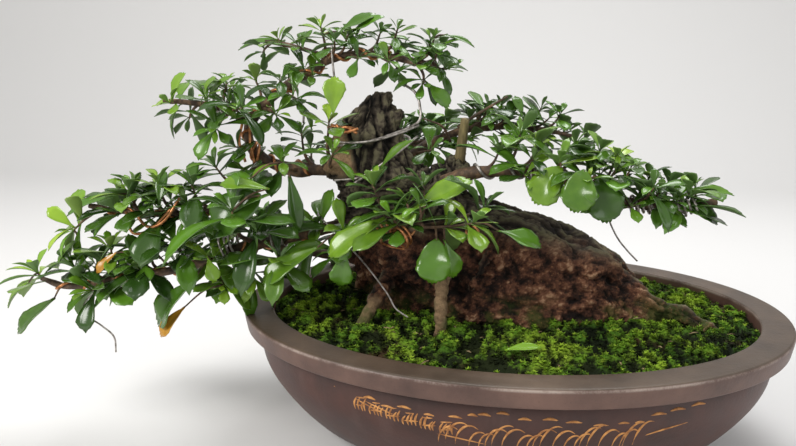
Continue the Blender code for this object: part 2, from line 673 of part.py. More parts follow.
def find_twig(branch, target, obstacles):
    """The first clear twig from a branch to a place, starting near the closest point."""
    route, radii = branch
    nearest = nearest_on(route, target)
    for shift in (0, -1, 1, -2, 2, -3, 3, -4, 4, -5, 5):
        index = nearest + shift
        if not 3 <= index < len(route):
            continue
        tangent = (route[index] - route[index - 1]).normalized()
        toward = target - route[index]
        if index == len(route) - 1:
            away = tangent
            start = route[index] + away * (3 * GAP)
        else:
            away = (toward - tangent * toward.dot(tangent)).normalized()
            start = route[index] + away * (radii[index] + 4 * GAP)
        path = twig_route(start, away, target)
        body = tube(path, taper(TWIG_RADIUS * 1.2, TWIG_RADIUS * 0.7, len(path)), TWIG_SIDES)
        if not touches(body, obstacles):
            return path, body
        body.free()
    return None, None


def back_along(path, distance):
    """The point of a route that lies a distance before its end."""
    for after, before in zip(reversed(path), reversed(path[:-1])):
        step = (after - before).length
        if distance <= step:
            return after.lerp(before, distance / step)
        distance -= step
    return path[0]


def rosette(path, count, length, turn, obstacles):
    """Leaves round the end of a twig, each turned until it is clear of the rest of the tree."""
    along = (path[-1] - path[-2]).normalized()
    heading = (along + Vector((0, 0, 0.35))).normalized()
    side = heading.orthogonal().normalized()
    leaves = []
    for number in range(count):
        for attempt in range(7):
            angle = turn + number * GOLDEN_ANGLE + attempt * 0.45
            tilt = math.radians(40 + 42 * number / max(1, count - 1) - 6 * attempt)
            spread = Matrix.Rotation(angle, 3, heading) @ side
            pointing = (heading * math.cos(tilt) + spread * math.sin(tilt)).normalized()
            base = back_along(path, 0.0006 + LEAF_SPACING * number)
            size = length * (0.80 + 0.20 * number / max(1, count - 1)) * (1 - 0.06 * attempt)
            face = Vector((0, 0, 1)) + 0.5 * (heading - spread)
            leaf = leaf_body(base, pointing, face, size)
            if not touches(leaf, obstacles):
                leaves.append(leaf)
                break
            leaf.free()
    return leaves


def make_sprays(branches, leaf_green):
    """Leaf sprays: twigs with rosettes of leaves, each spray grown as one piece."""
    obstacles = [tree_of(item) for item in bpy.context.scene.objects
                 if item.type == "MESH" and not item.hide_render]
    for order, (name, (branch, rosettes)) in enumerate(SPRAYS.items()):
        parts = []
        for number, (target, count, length) in enumerate(rosettes):
            target = Vector(target)
            if number == 0:
                path, body = find_twig(branches[branch], target, obstacles)
                main = path
            else:
                fork = main[len(main) // 2]
                path = smooth_route([fork, fork.lerp(target, 0.5) + Vector((0, 0, 0.002)),
                                     target], 3)
                body = tube(path, taper(TWIG_RADIUS * 0.9, TWIG_RADIUS * 0.6, len(path)),
                            TWIG_SIDES)
            if path is None:
                print("no clear twig for", name)
                break
            parts.append(body)
            turn = 0.9 * order + 2.1 * number
            found = rosette(path, count, length, turn, obstacles)
            if len(found) < count:
                print(name, number, "leaves", len(found), "of", count)
            parts += found
        if not parts:
            continue
        others = bpy.data.collections.new(f"{name}_parts")
        spray = add_object(name, parts[0], leaf_green)
        for number, part in enumerate(parts[1:]):
            as_cutter(part, f"{name}_part_{number}", others)
        boolean_all(spray, others, "UNION")
        settle(spray)
        obstacles.append(tree_of(spray))


def stand_on_origin():
    """Move everything so that the assembled box is centred on the origin, bottom at zero."""
    graph = bpy.context.evaluated_depsgraph_get()
    corners = []
    for item in bpy.context.scene.objects:
        if item.hide_render:
            continue
        shown = item.evaluated_get(graph)
        corners += [item.matrix_world @ vertex.co for vertex in shown.data.vertices]
    low = Vector([min(corner[i] for corner in corners) for i in range(3)])
    high = Vector([max(corner[i] for corner in corners) for i in range(3)])
    middle = (low + high) / 2
    move = Vector((-middle.x, -middle.y, -low.z))
    for item in bpy.data.objects:
        item.location = item.location + move
    print("box", tuple(round(value, 4) for value in high - low), "pot centre", tuple(move))


def build():
    """Make the whole tree."""
    clear_scene()
    clay = material("matte_clay", (0.080, 0.045, 0.036), 0.62)
    plastic = material("screen_plastic", (0.02, 0.02, 0.02), 0.6)
    steel = material("clip_wire", (0.60, 0.58, 0.55), 0.4, 1.0)
    gravel = material("drainage_gravel", (0.30, 0.25, 0.20), 0.9)
    soil = material("potting_soil", (0.05, 0.032, 0.02), 0.95)
    moss = material("cushion_moss", (0.09, 0.20, 0.02), 0.9)
    bark = material("trunk_bark", (0.095, 0.058, 0.036), 0.85)
    twig_bark = material("branch_bark", (0.085, 0.055, 0.035), 0.8)
    copper = material("copper_wire", (0.34, 0.17, 0.09), 0.35, 1.0)
    green = material("leaf_green", (0.030, 0.120, 0.015), 0.35)

    make_pot(clay)
    make_feet(clay)
    make_trunk(bark)
    trunk_cut = fat_trunk()
    gravel_layer = make_filling(trunk_cut, gravel, soil, moss)
    make_screens(gravel_layer, plastic, steel)
    branches = make_branches(twig_bark, trunk_cut)
    make_wires(branches, copper)
    for piece in bpy.context.scene.objects:
        if piece.modifiers:
            settle(piece)
    make_sprays(branches, green)
    stand_on_origin()


build()
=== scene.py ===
# %% [markdown]
# # A wired bonsai in an oval clay pot
#
# The imported model fixes where everything stands and how large it is. This file gives each piece
# its real surface: fired clay, cushion moss, torn and weathered wood, glossy leaves, soft
# aluminium wire. It loads the frame first and reads the pot's box from it.

import math
import random

import bmesh
import bpy
from mathutils import Matrix, Vector, noise


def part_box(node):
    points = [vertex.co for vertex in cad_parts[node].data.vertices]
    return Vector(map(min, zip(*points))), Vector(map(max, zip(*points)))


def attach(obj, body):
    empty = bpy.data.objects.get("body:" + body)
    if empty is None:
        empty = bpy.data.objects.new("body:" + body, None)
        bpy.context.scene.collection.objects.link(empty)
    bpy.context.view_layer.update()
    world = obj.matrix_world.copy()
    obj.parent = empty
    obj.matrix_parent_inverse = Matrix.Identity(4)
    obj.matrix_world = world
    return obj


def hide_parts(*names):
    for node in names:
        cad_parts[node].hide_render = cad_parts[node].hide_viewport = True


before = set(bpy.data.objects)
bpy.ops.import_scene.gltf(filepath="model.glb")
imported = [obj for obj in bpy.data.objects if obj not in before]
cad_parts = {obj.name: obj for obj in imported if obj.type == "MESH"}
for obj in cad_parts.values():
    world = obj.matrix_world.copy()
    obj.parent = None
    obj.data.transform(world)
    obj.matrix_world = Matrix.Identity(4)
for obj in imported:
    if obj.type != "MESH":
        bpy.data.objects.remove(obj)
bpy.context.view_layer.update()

pot_low, pot_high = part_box("pot")
POT = Vector(((pot_low.x + pot_high.x) / 2, (pot_low.y + pot_high.y) / 2, 0))
POT_LONG = (pot_high.x - pot_low.x) / 2
POT_SHORT = (pot_high.y - pot_low.y) / 2
RIM = pot_high.z
UP = Vector((0, 0, 1))
MM = 1000  # millimetres in a metre; the tables of places are in millimetres
chance = random.Random(7)
noise.seed_set(7)  # vector noise follows the clock until it is given a seed


# %% [markdown]
# ## Writing materials as sums
#
# A material is a graph of nodes, but most of it is arithmetic. One small class wraps a socket
# so that `1 - mask * 0.5` adds the Math nodes, and one method adds any other node.

# %% Sockets that add up
class Signal:
    """An output socket that can be used in a sum."""

    def __init__(self, finish, socket):
        self.finish = finish
        self.socket = socket

    def sum(self, operation, first, second):
        return self.finish.add("Math", {"operation": operation}, {0: first, 1: second})


def add_operator(method, operation):
    """Let Python's operator, and its mirrored form, add a Math node."""
    setattr(Signal, f"__{method}__", lambda self, other: self.sum(operation, self, other))
    setattr(Signal, f"__r{method}__", lambda self, other: self.sum(operation, other, self))


for method, operation in (("add", "ADD"), ("sub", "SUBTRACT"), ("mul", "MULTIPLY"),
                          ("pow", "POWER")):
    add_operator(method, operation)


class Finish:
    """A material under construction."""

    def __init__(self, name, roughness=0.6, metallic=0.0):
        self.material = bpy.data.materials.new(name)
        self.material.use_nodes = True
        self.tree = self.material.node_tree
        self.shader = self.tree.nodes["Principled BSDF"]
        self.shader.inputs["Roughness"].default_value = roughness
        self.shader.inputs["Metallic"].default_value = metallic

    def add(self, kind, settings=None, inputs=None, output=0):
        """Add a shader node: its settings first, then the values or links of its sockets."""
        node = self.tree.nodes.new("ShaderNode" + kind)
        for key, value in (settings or {}).items():
            if key == "stops":
                self.set_stops(node.color_ramp, value)
            else:
                setattr(node, key, value)
        for key, value in (inputs or {}).items():
            if isinstance(value, Signal):
                self.tree.links.new(value.socket, node.inputs[key])
            else:
                node.inputs[key].default_value = value
        return Signal(self, node.outputs[output])

    @staticmethod
    def set_stops(ramp, stops):
        """Put (place, colour) stops on a colour ramp."""
        while len(ramp.elements) < len(stops):
            ramp.elements.new(1.0)
        for element, (place, colour) in zip(ramp.elements, stops):
            element.position = place
            element.color = (*colour, 1.0)

    def place(self, stretch=(1, 1, 1)):
        """Object coordinates, stretched."""
        here = self.add("TexCoord", output="Object")
        return self.add("Mapping", {}, {"Vector": here, "Scale": stretch})

    def height(self):
        """Height in the finished object."""
        here = self.add("TexCoord", output="Object")
        return self.add("SeparateXYZ", {}, {"Vector": here}, output="Z")

    def noise(self, scale, detail=4.0, stretch=(1, 1, 1), rough=0.55):
        """Cloudy noise in object space."""
        return self.add("TexNoise", {}, {"Vector": self.place(stretch), "Scale": scale,
                                         "Detail": detail, "Roughness": rough})

    def attribute(self, name):
        """A value stored on the mesh."""
        return self.add("Attribute", {"attribute_name": name}, output="Fac")

    def step(self, value, low, high):
        """0 below low, 1 above high, smooth between."""
        return self.add("MapRange", {"interpolation_type": "SMOOTHSTEP"},
                        {"Value": value, "From Min": low, "From Max": high})

    def mix(self, mask, first, second):
        """Two colours mixed by a mask."""
        first, second = [colour if isinstance(colour, Signal) else (*colour, 1.0)
                         for colour in (first, second)]
        return self.add("Mix", {"data_type": "RGBA"}, {0: mask, 6: first, 7: second}, output=2)

    def ramp(self, value, *stops):
        """A colour ramp."""
        return self.add("ValToRGB", {"stops": stops}, {"Fac": value})

    def wear(self, **sockets):
        """Feed the shader's own sockets."""
        for name, value in sockets.items():
            target = self.shader.inputs[name.replace("_", " ")]
            if isinstance(value, Signal):
                self.tree.links.new(value.socket, target)
            else:
                target.default_value = value
        return self.material

    def bump(self, height, strength, distance):
        """A normal from a height."""
        return self.add("Bump", {}, {"Height": height, "Strength": strength,
                                     "Distance": distance})


# %% [markdown]
# ## Bending a grid
#
# A tube, a bowl and a carpet of moss are all a flat grid wrapped round something. The grid
# operator gives the faces, and a function of two fractions says where each corner goes. Ends
# are closed by filling the open loops, so the piece is a solid.

# %% Helpers for making pieces
def bent_grid(around, along, place):
    """A grid closed round its first direction, each corner put at place(u, v)."""
    bm = bmesh.new()
    bmesh.ops.create_grid(bm, x_segments=around, y_segments=along, size=0.5, calc_uvs=True)
    for vertex in bm.verts:
        vertex.co = place(vertex.co.x + 0.5, vertex.co.y + 0.5)
    bmesh.ops.remove_doubles(bm, verts=bm.verts, dist=1e-6)
    bmesh.ops.holes_fill(bm, edges=[edge for edge in bm.edges if edge.is_boundary])
    bmesh.ops.recalc_face_normals(bm, faces=bm.faces)
    return bm


def linked(name, data):
    """An object in the scene."""
    item = bpy.data.objects.new(name, data)
    bpy.context.scene.collection.objects.link(item)
    return item


def solid(name, bm):
    """An object made of a bmesh, which is freed."""
    mesh = bpy.data.meshes.new(name)
    bm.to_mesh(mesh)
    bm.free()
    return linked(name, mesh)


def after_modifiers(item):
    """The mesh that an object's modifiers leave."""
    graph = bpy.context.evaluated_depsgraph_get()
    return bpy.data.meshes.new_from_object(item.evaluated_get(graph), depsgraph=graph)


def finished(name, bm, material, replaces=()):
    """Make an object of a bmesh, let it ride on the tree and hide the frame's parts that it
    replaces.
    """
    item = solid(name, bm)
    mesh = item.data
    mesh.shade_smooth()
    mesh.materials.append(material)
    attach(item, "root")
    if replaces:
        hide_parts(*replaces)
    print(name, len(mesh.polygons), "faces")
    return item


# %% Helpers for routes and tubes
def placed(points):
    """Points in millimetres about the pot's middle, moved to where the pot stands."""
    return [POT + Vector([value / MM for value in point]) for point in points]


def smooth_route(points, steps):
    """Points along a Catmull-Rom curve through a route."""
    knots = [Vector(point) for point in points]
    knots = [2 * knots[0] - knots[1], *knots, 2 * knots[-1] - knots[-2]]
    route = []
    for a, b, c, d in zip(knots, knots[1:], knots[2:], knots[3:]):
        for step in range(steps):
            t = step / steps
            route.append(0.5 * (2 * b + (c - a) * t + (2 * a - 5 * b + 4 * c - d) * t * t
                                + (3 * b - 3 * c + d - a) * t * t * t))
    route.append(knots[-2])
    return route


def frames(route):
    """Tangent and two sides at each point of a route, turned as little as possible."""
    tangents = []
    for i in range(len(route)):
        before = route[max(i - 1, 0)]
        after = route[min(i + 1, len(route) - 1)]
        tangents.append((after - before).normalized())
    side = tangents[0].orthogonal().normalized()
    result = []
    for i, tangent in enumerate(tangents):
        if i:
            side = tangents[i - 1].rotation_difference(tangent) @ side
        side = (side - tangent * side.dot(tangent)).normalized()
        result.append((tangent, side, tangent.cross(side)))
    return result


def tube(route, radii, sides):
    """A closed tube along a route, with a radius for each of its points."""
    axes = frames(route)

    def place(u, v):
        i = round(v * (len(route) - 1))
        angle = math.tau * u
        _, side, other = axes[i]
        return route[i] + radii[i] * (math.cos(angle) * side + math.sin(angle) * other)

    return bent_grid(sides, len(route) - 1, place)


def taper(start, end, count):
    """Radii that fall evenly from start to end."""
    return [start + (end - start) * i / (count - 1) for i in range(count)]


def gather(parts):
    """Several bmeshes in one, which frees them."""
    whole = bmesh.new()
    for part in parts:
        mesh = bpy.data.meshes.new("part")
        part.to_mesh(mesh)
        part.free()
        whole.from_mesh(mesh)
        bpy.data.meshes.remove(mesh)
    return whole


# %% [markdown]
# ## Camera and studio
#
# A bonsai is looked at from just above the rim. The camera stands half a metre away, a little
# above the moss, turned slightly left of the pot's middle, where the tree leans. The backdrop
# is one pale sheet that curves up behind, so that no horizon cuts the branches.

# %% Camera
VIEW_DISTANCE = 0.5485
VIEW_RISE = 0.182  # above the rim
camera_data = bpy.data.cameras.new("camera")
camera_data.sensor_width = 36.0
camera_data.lens = 33.92
camera = linked("camera", camera_data)
camera.location = POT + Vector((0, -VIEW_DISTANCE, RIM + VIEW_RISE))
gaze = Vector((-0.1465, 0.9652, -0.2166))
camera.rotation_euler = gaze.to_track_quat("-Z", "Y").to_euler()
bpy.context.scene.camera = camera
print("camera at", tuple(round(value, 3) for value in camera.location))


# %% Backdrop and lights
SHEET_FRONT = 1.2  # metres of floor in front of the tree, behind it, and the bend's radius
SHEET_BACK = 1.1
SHEET_BEND = 0.5
SHEET_RUN = 3.4
SHEET_WIDTH = 6


def make_backdrop():
    """A sheet that runs back along the floor and curves up behind."""
    floor = SHEET_FRONT + SHEET_BACK
    curve = SHEET_BEND * math.pi / 2

    def place(u, v):
        run = v * SHEET_RUN
        if run < floor:
            y, z = run - SHEET_FRONT, 0.0
        elif run < floor + curve:
            turn = (run - floor) / SHEET_BEND
            y = SHEET_BACK + SHEET_BEND * math.sin(turn)
            z = SHEET_BEND * (1 - math.cos(turn))
        else:
            y, z = SHEET_BACK + SHEET_BEND, SHEET_BEND + (run - floor - curve) * 3
        return Vector(((u - 0.5) * SHEET_WIDTH, y, z - 0.0002))

    bm = bmesh.new()
    bmesh.ops.create_grid(bm, x_segments=4, y_segments=60, size=0.5)
    for vertex in bm.verts:
        vertex.co = place(vertex.co.x + 0.5, vertex.co.y + 0.5)
    sheet = solid("backdrop", bm)
    sheet.data.shade_smooth()
    paper = Finish("backdrop_paper", roughness=0.9)
    sheet.data.materials.append(paper.wear(Base_Color=(0.7, 0.695, 0.69, 1)))


LIT_POINT = Vector((0, 0, 0.15))


def add_softbox(name, place, size, power, colour):
    """A large square lamp aimed at the tree."""
    lamp = bpy.data.lights.new(name, "AREA")
    lamp.shape = "SQUARE"
    lamp.size = size
    lamp.energy = power
    lamp.color = colour
    item = linked(name, lamp)
    item.location = place
    aim = LIT_POINT - Vector(place)
    item.rotation_euler = aim.to_track_quat("-Z", "Y").to_euler()
    print(name, "lamp", power, "W")


make_backdrop()
add_softbox("key", (-1.0, -1.0, 1.1), 0.7, 21, (1.0, 0.98, 0.95))
add_softbox("fill", (1.4, -0.8, 0.7), 1.0, 5, (0.95, 0.97, 1.0))
add_softbox("top", (0.2, 0.5, 1.4), 0.8, 14, (1.0, 1.0, 1.0))
world = bpy.data.worlds.new("studio")
bpy.context.scene.world = world
world.use_nodes = True
sky = world.node_tree.nodes["Background"].inputs
sky["Color"].default_value = (0.99, 0.985, 0.97, 1)
sky["Strength"].default_value = 0.62
bpy.context.scene.view_settings.view_transform = "Standard"


# %% [markdown]
# ## The pot
#
# An unglazed stoneware oval: a flat rolled rim, a neck tucked under it, and a body that bellies
# out and turns in to the feet. It was thrown or pressed, so its section is the same all round,
# and one profile swept round an oval is the true way to make it. The rim's corners are short
# arcs, because fired clay has no sharp edges.

# %% Pot profile
POT_BODY = [(0.015, 0.015), (0.0125, 0.023), (0.0135, 0.034), (0.018, 0.046),
            (0.026, 0.059), (0.035, 0.071), (0.043, 0.08), (0.05, 0.087)]
RIM_WIDTH = 0.0215
LIP_HEIGHT = 0.0135
WALL = 0.0085
FLOOR_DEPTH = 0.079
FOOT_HEIGHT = 0.008
DRAIN_RADIUS = 0.011
DRAIN_SPACING = 0.15
BODY_DEPTH = 0.087
POT_COLUMNS = 168
FOOT_ANGLE = math.radians(42)
FOOT_INSET = 0.072
FOOT_OVERLAP = 0.006  # how far a foot reaches up into the body it is joined to


def arc(middle, radius, start, end, count):
    """Profile points on a rounded corner, angles in degrees."""
    points = []
    for i in range(count + 1):
        angle = math.radians(start + (end - start) * i / count)
        points.append((middle[0] - radius * math.cos(angle), middle[1] - radius * math.sin(angle)))
    return points


def body_inset(depth):
    """How far the outer wall stands in from the rim's edge, at a depth below the rim."""
    for (i0, d0), (i1, d1) in zip(POT_BODY, POT_BODY[1:]):
        if depth <= d1:
            return i0 + (i1 - i0) * max(0.0, depth - d0) / (d1 - d0)
    return POT_BODY[-1][0]


def pot_profile():
    """(inset, depth) from the underside's middle, up the outside, over the rim and down in."""
    outside = smooth_route([(inset, depth, 0) for inset, depth in reversed(POT_BODY)], 4)
    profile = [(POT_SHORT, BODY_DEPTH), (0.06, BODY_DEPTH)]
    profile += [(point.x, point.y) for point in outside[1:]]
    profile += [(0.0135, 0.0143), (0.006, 0.0139)]
    profile += arc((0.0032, 0.0121), 0.0015, -90, 0, 4)
    profile += [(0.0006, 0.006)]
    profile += arc((0.0021, 0.0021), 0.0021, 0, 90, 5)
    profile += [(0.0075, 0.0002), (0.014, 0.0002)]
    profile += arc((RIM_WIDTH - 0.0016, 0.0016), 0.0016, 90, 180, 4)
    for depth in (0.01, 0.016, 0.023, 0.034, 0.046, 0.059, 0.071):
        inset = RIM_WIDTH if depth <= POT_BODY[1][1] else body_inset(depth) + WALL
        profile.append((inset, depth))
    profile += [(body_inset(FLOOR_DEPTH) + WALL, FLOOR_DEPTH), (POT_SHORT, FLOOR_DEPTH)]
    return profile


def oval(inset, depth, angle):
    """A point of the pot's oval, an inset in from the rim's edge."""
    if inset >= POT_SHORT:
        return POT + Vector((0, 0, RIM - depth))
    return POT + Vector(((POT_LONG - inset) * math.cos(angle),
                         (POT_SHORT - inset) * math.sin(angle), RIM - depth))


# %% Feet, drain holes and the bowl
def foot(quarter):
    """One low foot under the pot."""
    angle = (math.pi - FOOT_ANGLE if quarter % 2 else FOOT_ANGLE) + math.pi * (quarter // 2)
    tall = FOOT_HEIGHT + FOOT_OVERLAP
    bm = bmesh.new()
    bmesh.ops.create_cube(bm, size=1.0)
    bmesh.ops.scale(bm, verts=bm.verts, vec=(0.044, 0.015, tall))
    upright = [edge for edge in bm.edges if abs(edge.verts[0].co.z - edge.verts[1].co.z) > 0.001]
    bmesh.ops.bevel(bm, geom=upright, offset=0.006, segments=6, affect="EDGES", profile=0.5,
                    material=-1)
    spot = POT + Vector(((POT_LONG - FOOT_INSET) * math.cos(angle),
                         (POT_SHORT - FOOT_INSET) * math.sin(angle), tall / 2))
    slope = math.atan2(POT_SHORT * math.cos(angle), -POT_LONG * math.sin(angle))
    bmesh.ops.transform(bm, verts=bm.verts,
                        matrix=Matrix.Translation(spot) @ Matrix.Rotation(slope, 4, "Z"))
    bmesh.ops.recalc_face_normals(bm, faces=bm.faces)
    return bm


def drain(side):
    """The drill that makes one drain hole."""
    bm = bmesh.new()
    spot = POT + Vector((side * DRAIN_SPACING / 2, 0, 0.012))
    bmesh.ops.create_cone(bm, cap_ends=True, segments=40, radius1=DRAIN_RADIUS,
                          radius2=DRAIN_RADIUS, depth=0.04, matrix=Matrix.Translation(spot))
    return bm


def make_pot(clay):
    """The bowl, with feet joined on and drain holes cut by Booleans."""
    profile = pot_profile()

    def place(u, v):
        inset, depth = profile[round(v * (len(profile) - 1))]
        return oval(inset, depth, math.tau * u)

    pot = finished("clay_pot", bent_grid(POT_COLUMNS, len(profile) - 1, place), clay,
                   ["pot", "foot_front_left", "foot_front_right", "foot_back_left",
                    "foot_back_right"])
    tools = [solid(f"foot_{i}", foot(i)) for i in range(4)]
    tools += [solid(f"drain_{side}", drain(side)) for side in (-1, 1)]
    for tool in tools:
        change = pot.modifiers.new(tool.name, "BOOLEAN")
        change.solver = "EXACT"
        change.operation = "UNION" if tool.name.startswith("foot") else "DIFFERENCE"
        change.object = tool
    cut = after_modifiers(pot)
    pot.modifiers.clear()
    pot.data = cut
    cut.set_sharp_from_angle(angle=math.radians(38))
    for tool in tools:
        bpy.data.objects.remove(tool, do_unlink=True)
    print("pot", len(cut.polygons), "faces with its feet and drain holes")


# %% [markdown]
# The clay is one dark red-brown body. The rim's flat top is coloured a greyer brown, handling wore
# its edges pale, and water stains the wall in soft vertical streaks. The lip's side is painted
# lighter than the belly, as light falling on it, and the belly under its overhang stays dark as
# painted shade. Height in the pot picks the zone.

# %% Clay finish
def clay_finish():
    clay = Finish("unglazed_clay", roughness=0.55)
    height = clay.height()
    cloud = clay.noise(28, 5)
    speck = clay.noise(900, 3)
    streak = clay.noise(60, 4, stretch=(1, 1, 0.12))
    body = clay.ramp(cloud, (0.3, (0.03, 0.01, 0.007)), (0.7, (0.076, 0.027, 0.019)))
    stained = clay.mix(clay.step(streak, 0.52, 0.72) * 0.3, body, (0.11, 0.062, 0.052))
    # painted light and shade: the lip's side is coloured lighter, as lit, than the belly, which
    # stays dark as shade under the overhang
    lit_lip_colour = clay.ramp(cloud, (0.28, (0.064, 0.032, 0.024)), (0.72, (0.164, 0.09, 0.067)))
    on_lit_lip = clay.step(height, RIM - LIP_HEIGHT - 0.002, RIM - LIP_HEIGHT + 0.001)
    top = clay.ramp(cloud, (0.3, (0.046, 0.029, 0.018)), (0.7, (0.114, 0.076, 0.05)))
    on_top = clay.step(height, RIM - 0.0012, RIM - 0.0004)
    colour = clay.mix(on_lit_lip, stained, lit_lip_colour)
    colour = clay.mix(on_top, colour, top)
    edge = clay.step(height, RIM - 0.003, RIM - 0.0014) * (1 - on_top)
    colour = clay.mix(edge * clay.step(cloud + speck * 0.4, 0.5, 0.9) * 0.8, colour,
                      (0.42, 0.35, 0.3))
    colour = clay.mix(clay.step(speck, 0.6, 0.72) * 0.35, colour, (0.03, 0.018, 0.014))
    grain = speck * 0.6 + cloud * 0.8 + clay.noise(260, 4) * 0.8
    return clay.wear(Base_Color=colour, Roughness=0.36 + cloud * 0.22,
                     Normal=clay.bump(grain, 0.35, 0.0006))


make_pot(clay_finish())


# %% [markdown]
# ## The scratched band
#
# The potter scratched a loose landscape into the leather-hard clay and rubbed ochre into the
# lines: low clouds, ground lines, tufts of grass, and round hills. The strokes are thin ribs of
# ochre slip laid along the wall, each drawn from the wall's own shape, so they hug the belly.

# %% Ochre strokes
def on_wall(run, depth):
    """A point on the front of the body: run metres right of the middle, a depth below the rim."""
    inset = body_inset(depth)
    angle = -math.pi / 2 + run / (POT_LONG - inset) * 1.02
    return oval(inset + 0.00015, depth, angle)


def stroke(points, width=0.00055):
    """One ochre line through (run, depth) points."""
    route = smooth_route([on_wall(run, depth) for run, depth in points], 4)
    ends = [0.35 + 0.65 * math.sin(math.pi * i / (len(route) - 1)) for i in range(len(route))]
    return tube(route, [width * end for end in ends], 6)


SLOPES = [(-0.112, -0.052, 0.0235, 0.04), (-0.104, -0.046, 0.024, 0.0385),
          (-0.052, 0.0, 0.04, 0.047), (0.078, 0.116, 0.04, 0.033)]


def make_band(ochre):
    """Clouds, a slope, huts and reeds, and rows of nested hills along the front."""
    hand = random.Random(3)
    strokes = []
    for start, end, first, last in SLOPES:
        strokes.append(stroke([(start, first), ((start + end) / 2, (first + last) / 2 - 0.001),
                               (end, last)], 0.0008))
    for clump in range(6):
        left = -0.094 + 0.0115 * clump
        base = 0.036 + 0.0011 * clump
        for bar in range(4):
            root = left + 0.0026 * bar + hand.uniform(-0.0006, 0.0006)
            tall = hand.uniform(0.0085, 0.013)
            strokes.append(stroke([(root, base), (root - 0.0008, base - tall * 0.5),
                                   (root + 0.0018, base - tall)], 0.0009))
        for rung in range(2):
            depth = base - 0.004 - 0.0055 * rung
            strokes.append(stroke([(left - 0.001, depth), (left + 0.009, depth - 0.0012)], 0.0008))
    for hill in range(22):
        middle = -0.03 + 0.0056 * hill + hand.uniform(-0.0008, 0.0008)
        reach = 0.015 + 0.0035 * math.sin(hill * 1.3)
        base = 0.049 - 0.003 * (hill / 21)
        points = []
        for i in range(7):
            angle = math.radians(178 - 118 * i / 6)
            points.append((middle + reach * 0.55 * math.cos(angle),
                           base - reach * math.sin(angle)))
        strokes.append(stroke(points, 0.0009))
    run = -0.088
    while run < 0.118:
        length = hand.uniform(0.006, 0.015)
        depth = 0.0222 + 0.003 * hand.random() + 0.004 * math.sin(run * 26) ** 2
        strokes.append(stroke([(run, depth), (run + length * 0.5, depth - 0.0007),
                               (run + length, depth + 0.0003)], 0.001))
        run += length * hand.uniform(0.9, 1.7)
    return finished("scratched_band", gather(strokes), ochre)


def ochre_finish():
    ochre = Finish("ochre_slip", roughness=0.7)
    rub = ochre.noise(220, 4)
    return ochre.wear(Base_Color=ochre.ramp(rub, (0.35, (0.26, 0.1, 0.028)),
                                            (0.65, (0.62, 0.29, 0.085))))


make_band(ochre_finish())


# %% [markdown]
# ## Moss
#
# Cushion moss grows as rounded pads with gaps between them; its colour is painted shade in the
# gaps and painted light on the cushion tops. A fine carpet is bent over the soil and swollen into
# cushions, then thousands of tiny star-shaped shoots are planted on it.
# Each shoot is a cone of a few faces with every other point pulled in, which is what a moss
# shoot looks like from above.

# %% Moss carpet
MOSS_EDGE = 0.0075
MOSS_RISE = 0.009
MOSS_BOTTOM = 0.0167
MOSS_INSET = RIM_WIDTH + 0.0004
MOSS_ROWS = 110
MOSS_COLUMNS = 300


def moss_height(x, y):
    """Height of the moss over the pot, x and y running from -1 to 1 across it."""
    rise = 1 - min(1.0, x * x + y * y)
    lumps = noise.noise(Vector((x * 7, y * 6, 3.1))) * 0.004
    return RIM - MOSS_EDGE + MOSS_RISE * rise ** 0.6 + lumps * min(1.0, 4 * rise)


def cushion(x, y):
    """0 in the gaps between cushions of moss, 1 on top of them."""
    spot = Vector((x * 13, y * 10, 0.4))
    spot += 0.6 * noise.noise_vector(spot * 1.7)
    near = noise.voronoi(spot)[0]
    broad = min(1.0, (near[1] - near[0]) * 1.9)
    spot = Vector((x * 46, y * 35, 5.2))
    near = noise.voronoi(spot)[0]
    small = min(1.0, (near[1] - near[0]) * 1.6)
    bare = max(0.0, noise.noise(Vector((x * 5, y * 5, 8.0))) - 0.3)
    return max(0.0, 0.7 * broad ** 0.6 + 0.3 * small ** 0.7 - 1.6 * bare)


def moss_point(reach, angle):
    """A point on top of the moss and how high on its cushion it is."""
    x = reach * math.cos(angle)
    y = reach * math.sin(angle)
    swell = cushion(x, y)
    height = moss_height(x, y) - 0.0056 + 0.0095 * swell + 0.0008 * noise.noise(
        Vector((x * 90, y * 70, 1.0)))
    spot = POT + Vector((x * (POT_LONG - MOSS_INSET), y * (POT_SHORT - MOSS_INSET), height))
    return spot, swell


def make_carpet(moss):
    """The moss as one closed carpet: two rows underneath, then the top from rim to middle."""
    def place(u, v):
        row = round(v * (MOSS_ROWS + 2))
        angle = math.tau * u
        if row >= 2:
            return moss_point(1 - (row - 2) / MOSS_ROWS, angle)[0]
        return POT + Vector((row * (POT_LONG - MOSS_INSET) * math.cos(angle),
                             row * (POT_SHORT - MOSS_INSET) * math.sin(angle),
                             RIM - MOSS_BOTTOM))

    bm = bent_grid(MOSS_COLUMNS, MOSS_ROWS + 2, place)
    layer = bm.verts.layers.float.new("swell")
    for vertex in bm.verts:
        flat = vertex.co - POT
        x = flat.x / (POT_LONG - RIM_WIDTH)
        y = flat.y / (POT_SHORT - RIM_WIDTH)
        vertex[layer] = cushion(x, y)
    return finished("moss_carpet", bm, moss, ["moss"])


# %% Moss shoots
SPOKES = 8


def plant_shoots(patch, spots):
    """Put one star-shaped shoot on each spot, as one small patch."""
    for spot, swell, size in spots:
        lean = Matrix.Rotation(chance.uniform(-0.7, 0.7), 4, "X")
        turn = Matrix.Rotation(chance.uniform(0, math.tau), 4, "Z")
        place = Matrix.Translation(spot) @ turn @ lean @ Matrix.Scale(size, 4)
        made = bmesh.ops.create_cone(patch, cap_ends=False, segments=SPOKES,
                                     radius1=0.0, radius2=1.0, depth=0.9)
        shade = chance.random()
        for vertex in made["verts"]:
            spoke = round(math.atan2(vertex.co.y, vertex.co.x) / (math.tau / SPOKES))
            if vertex.co.z > 0 and spoke % 2:
                vertex.co = Vector((vertex.co.x * 0.35, vertex.co.y * 0.35, 0.1))
            vertex.co = place @ vertex.co
            vertex[patch.verts.layers.float["swell"]] = swell
            vertex[patch.verts.layers.float["tone"]] = shade


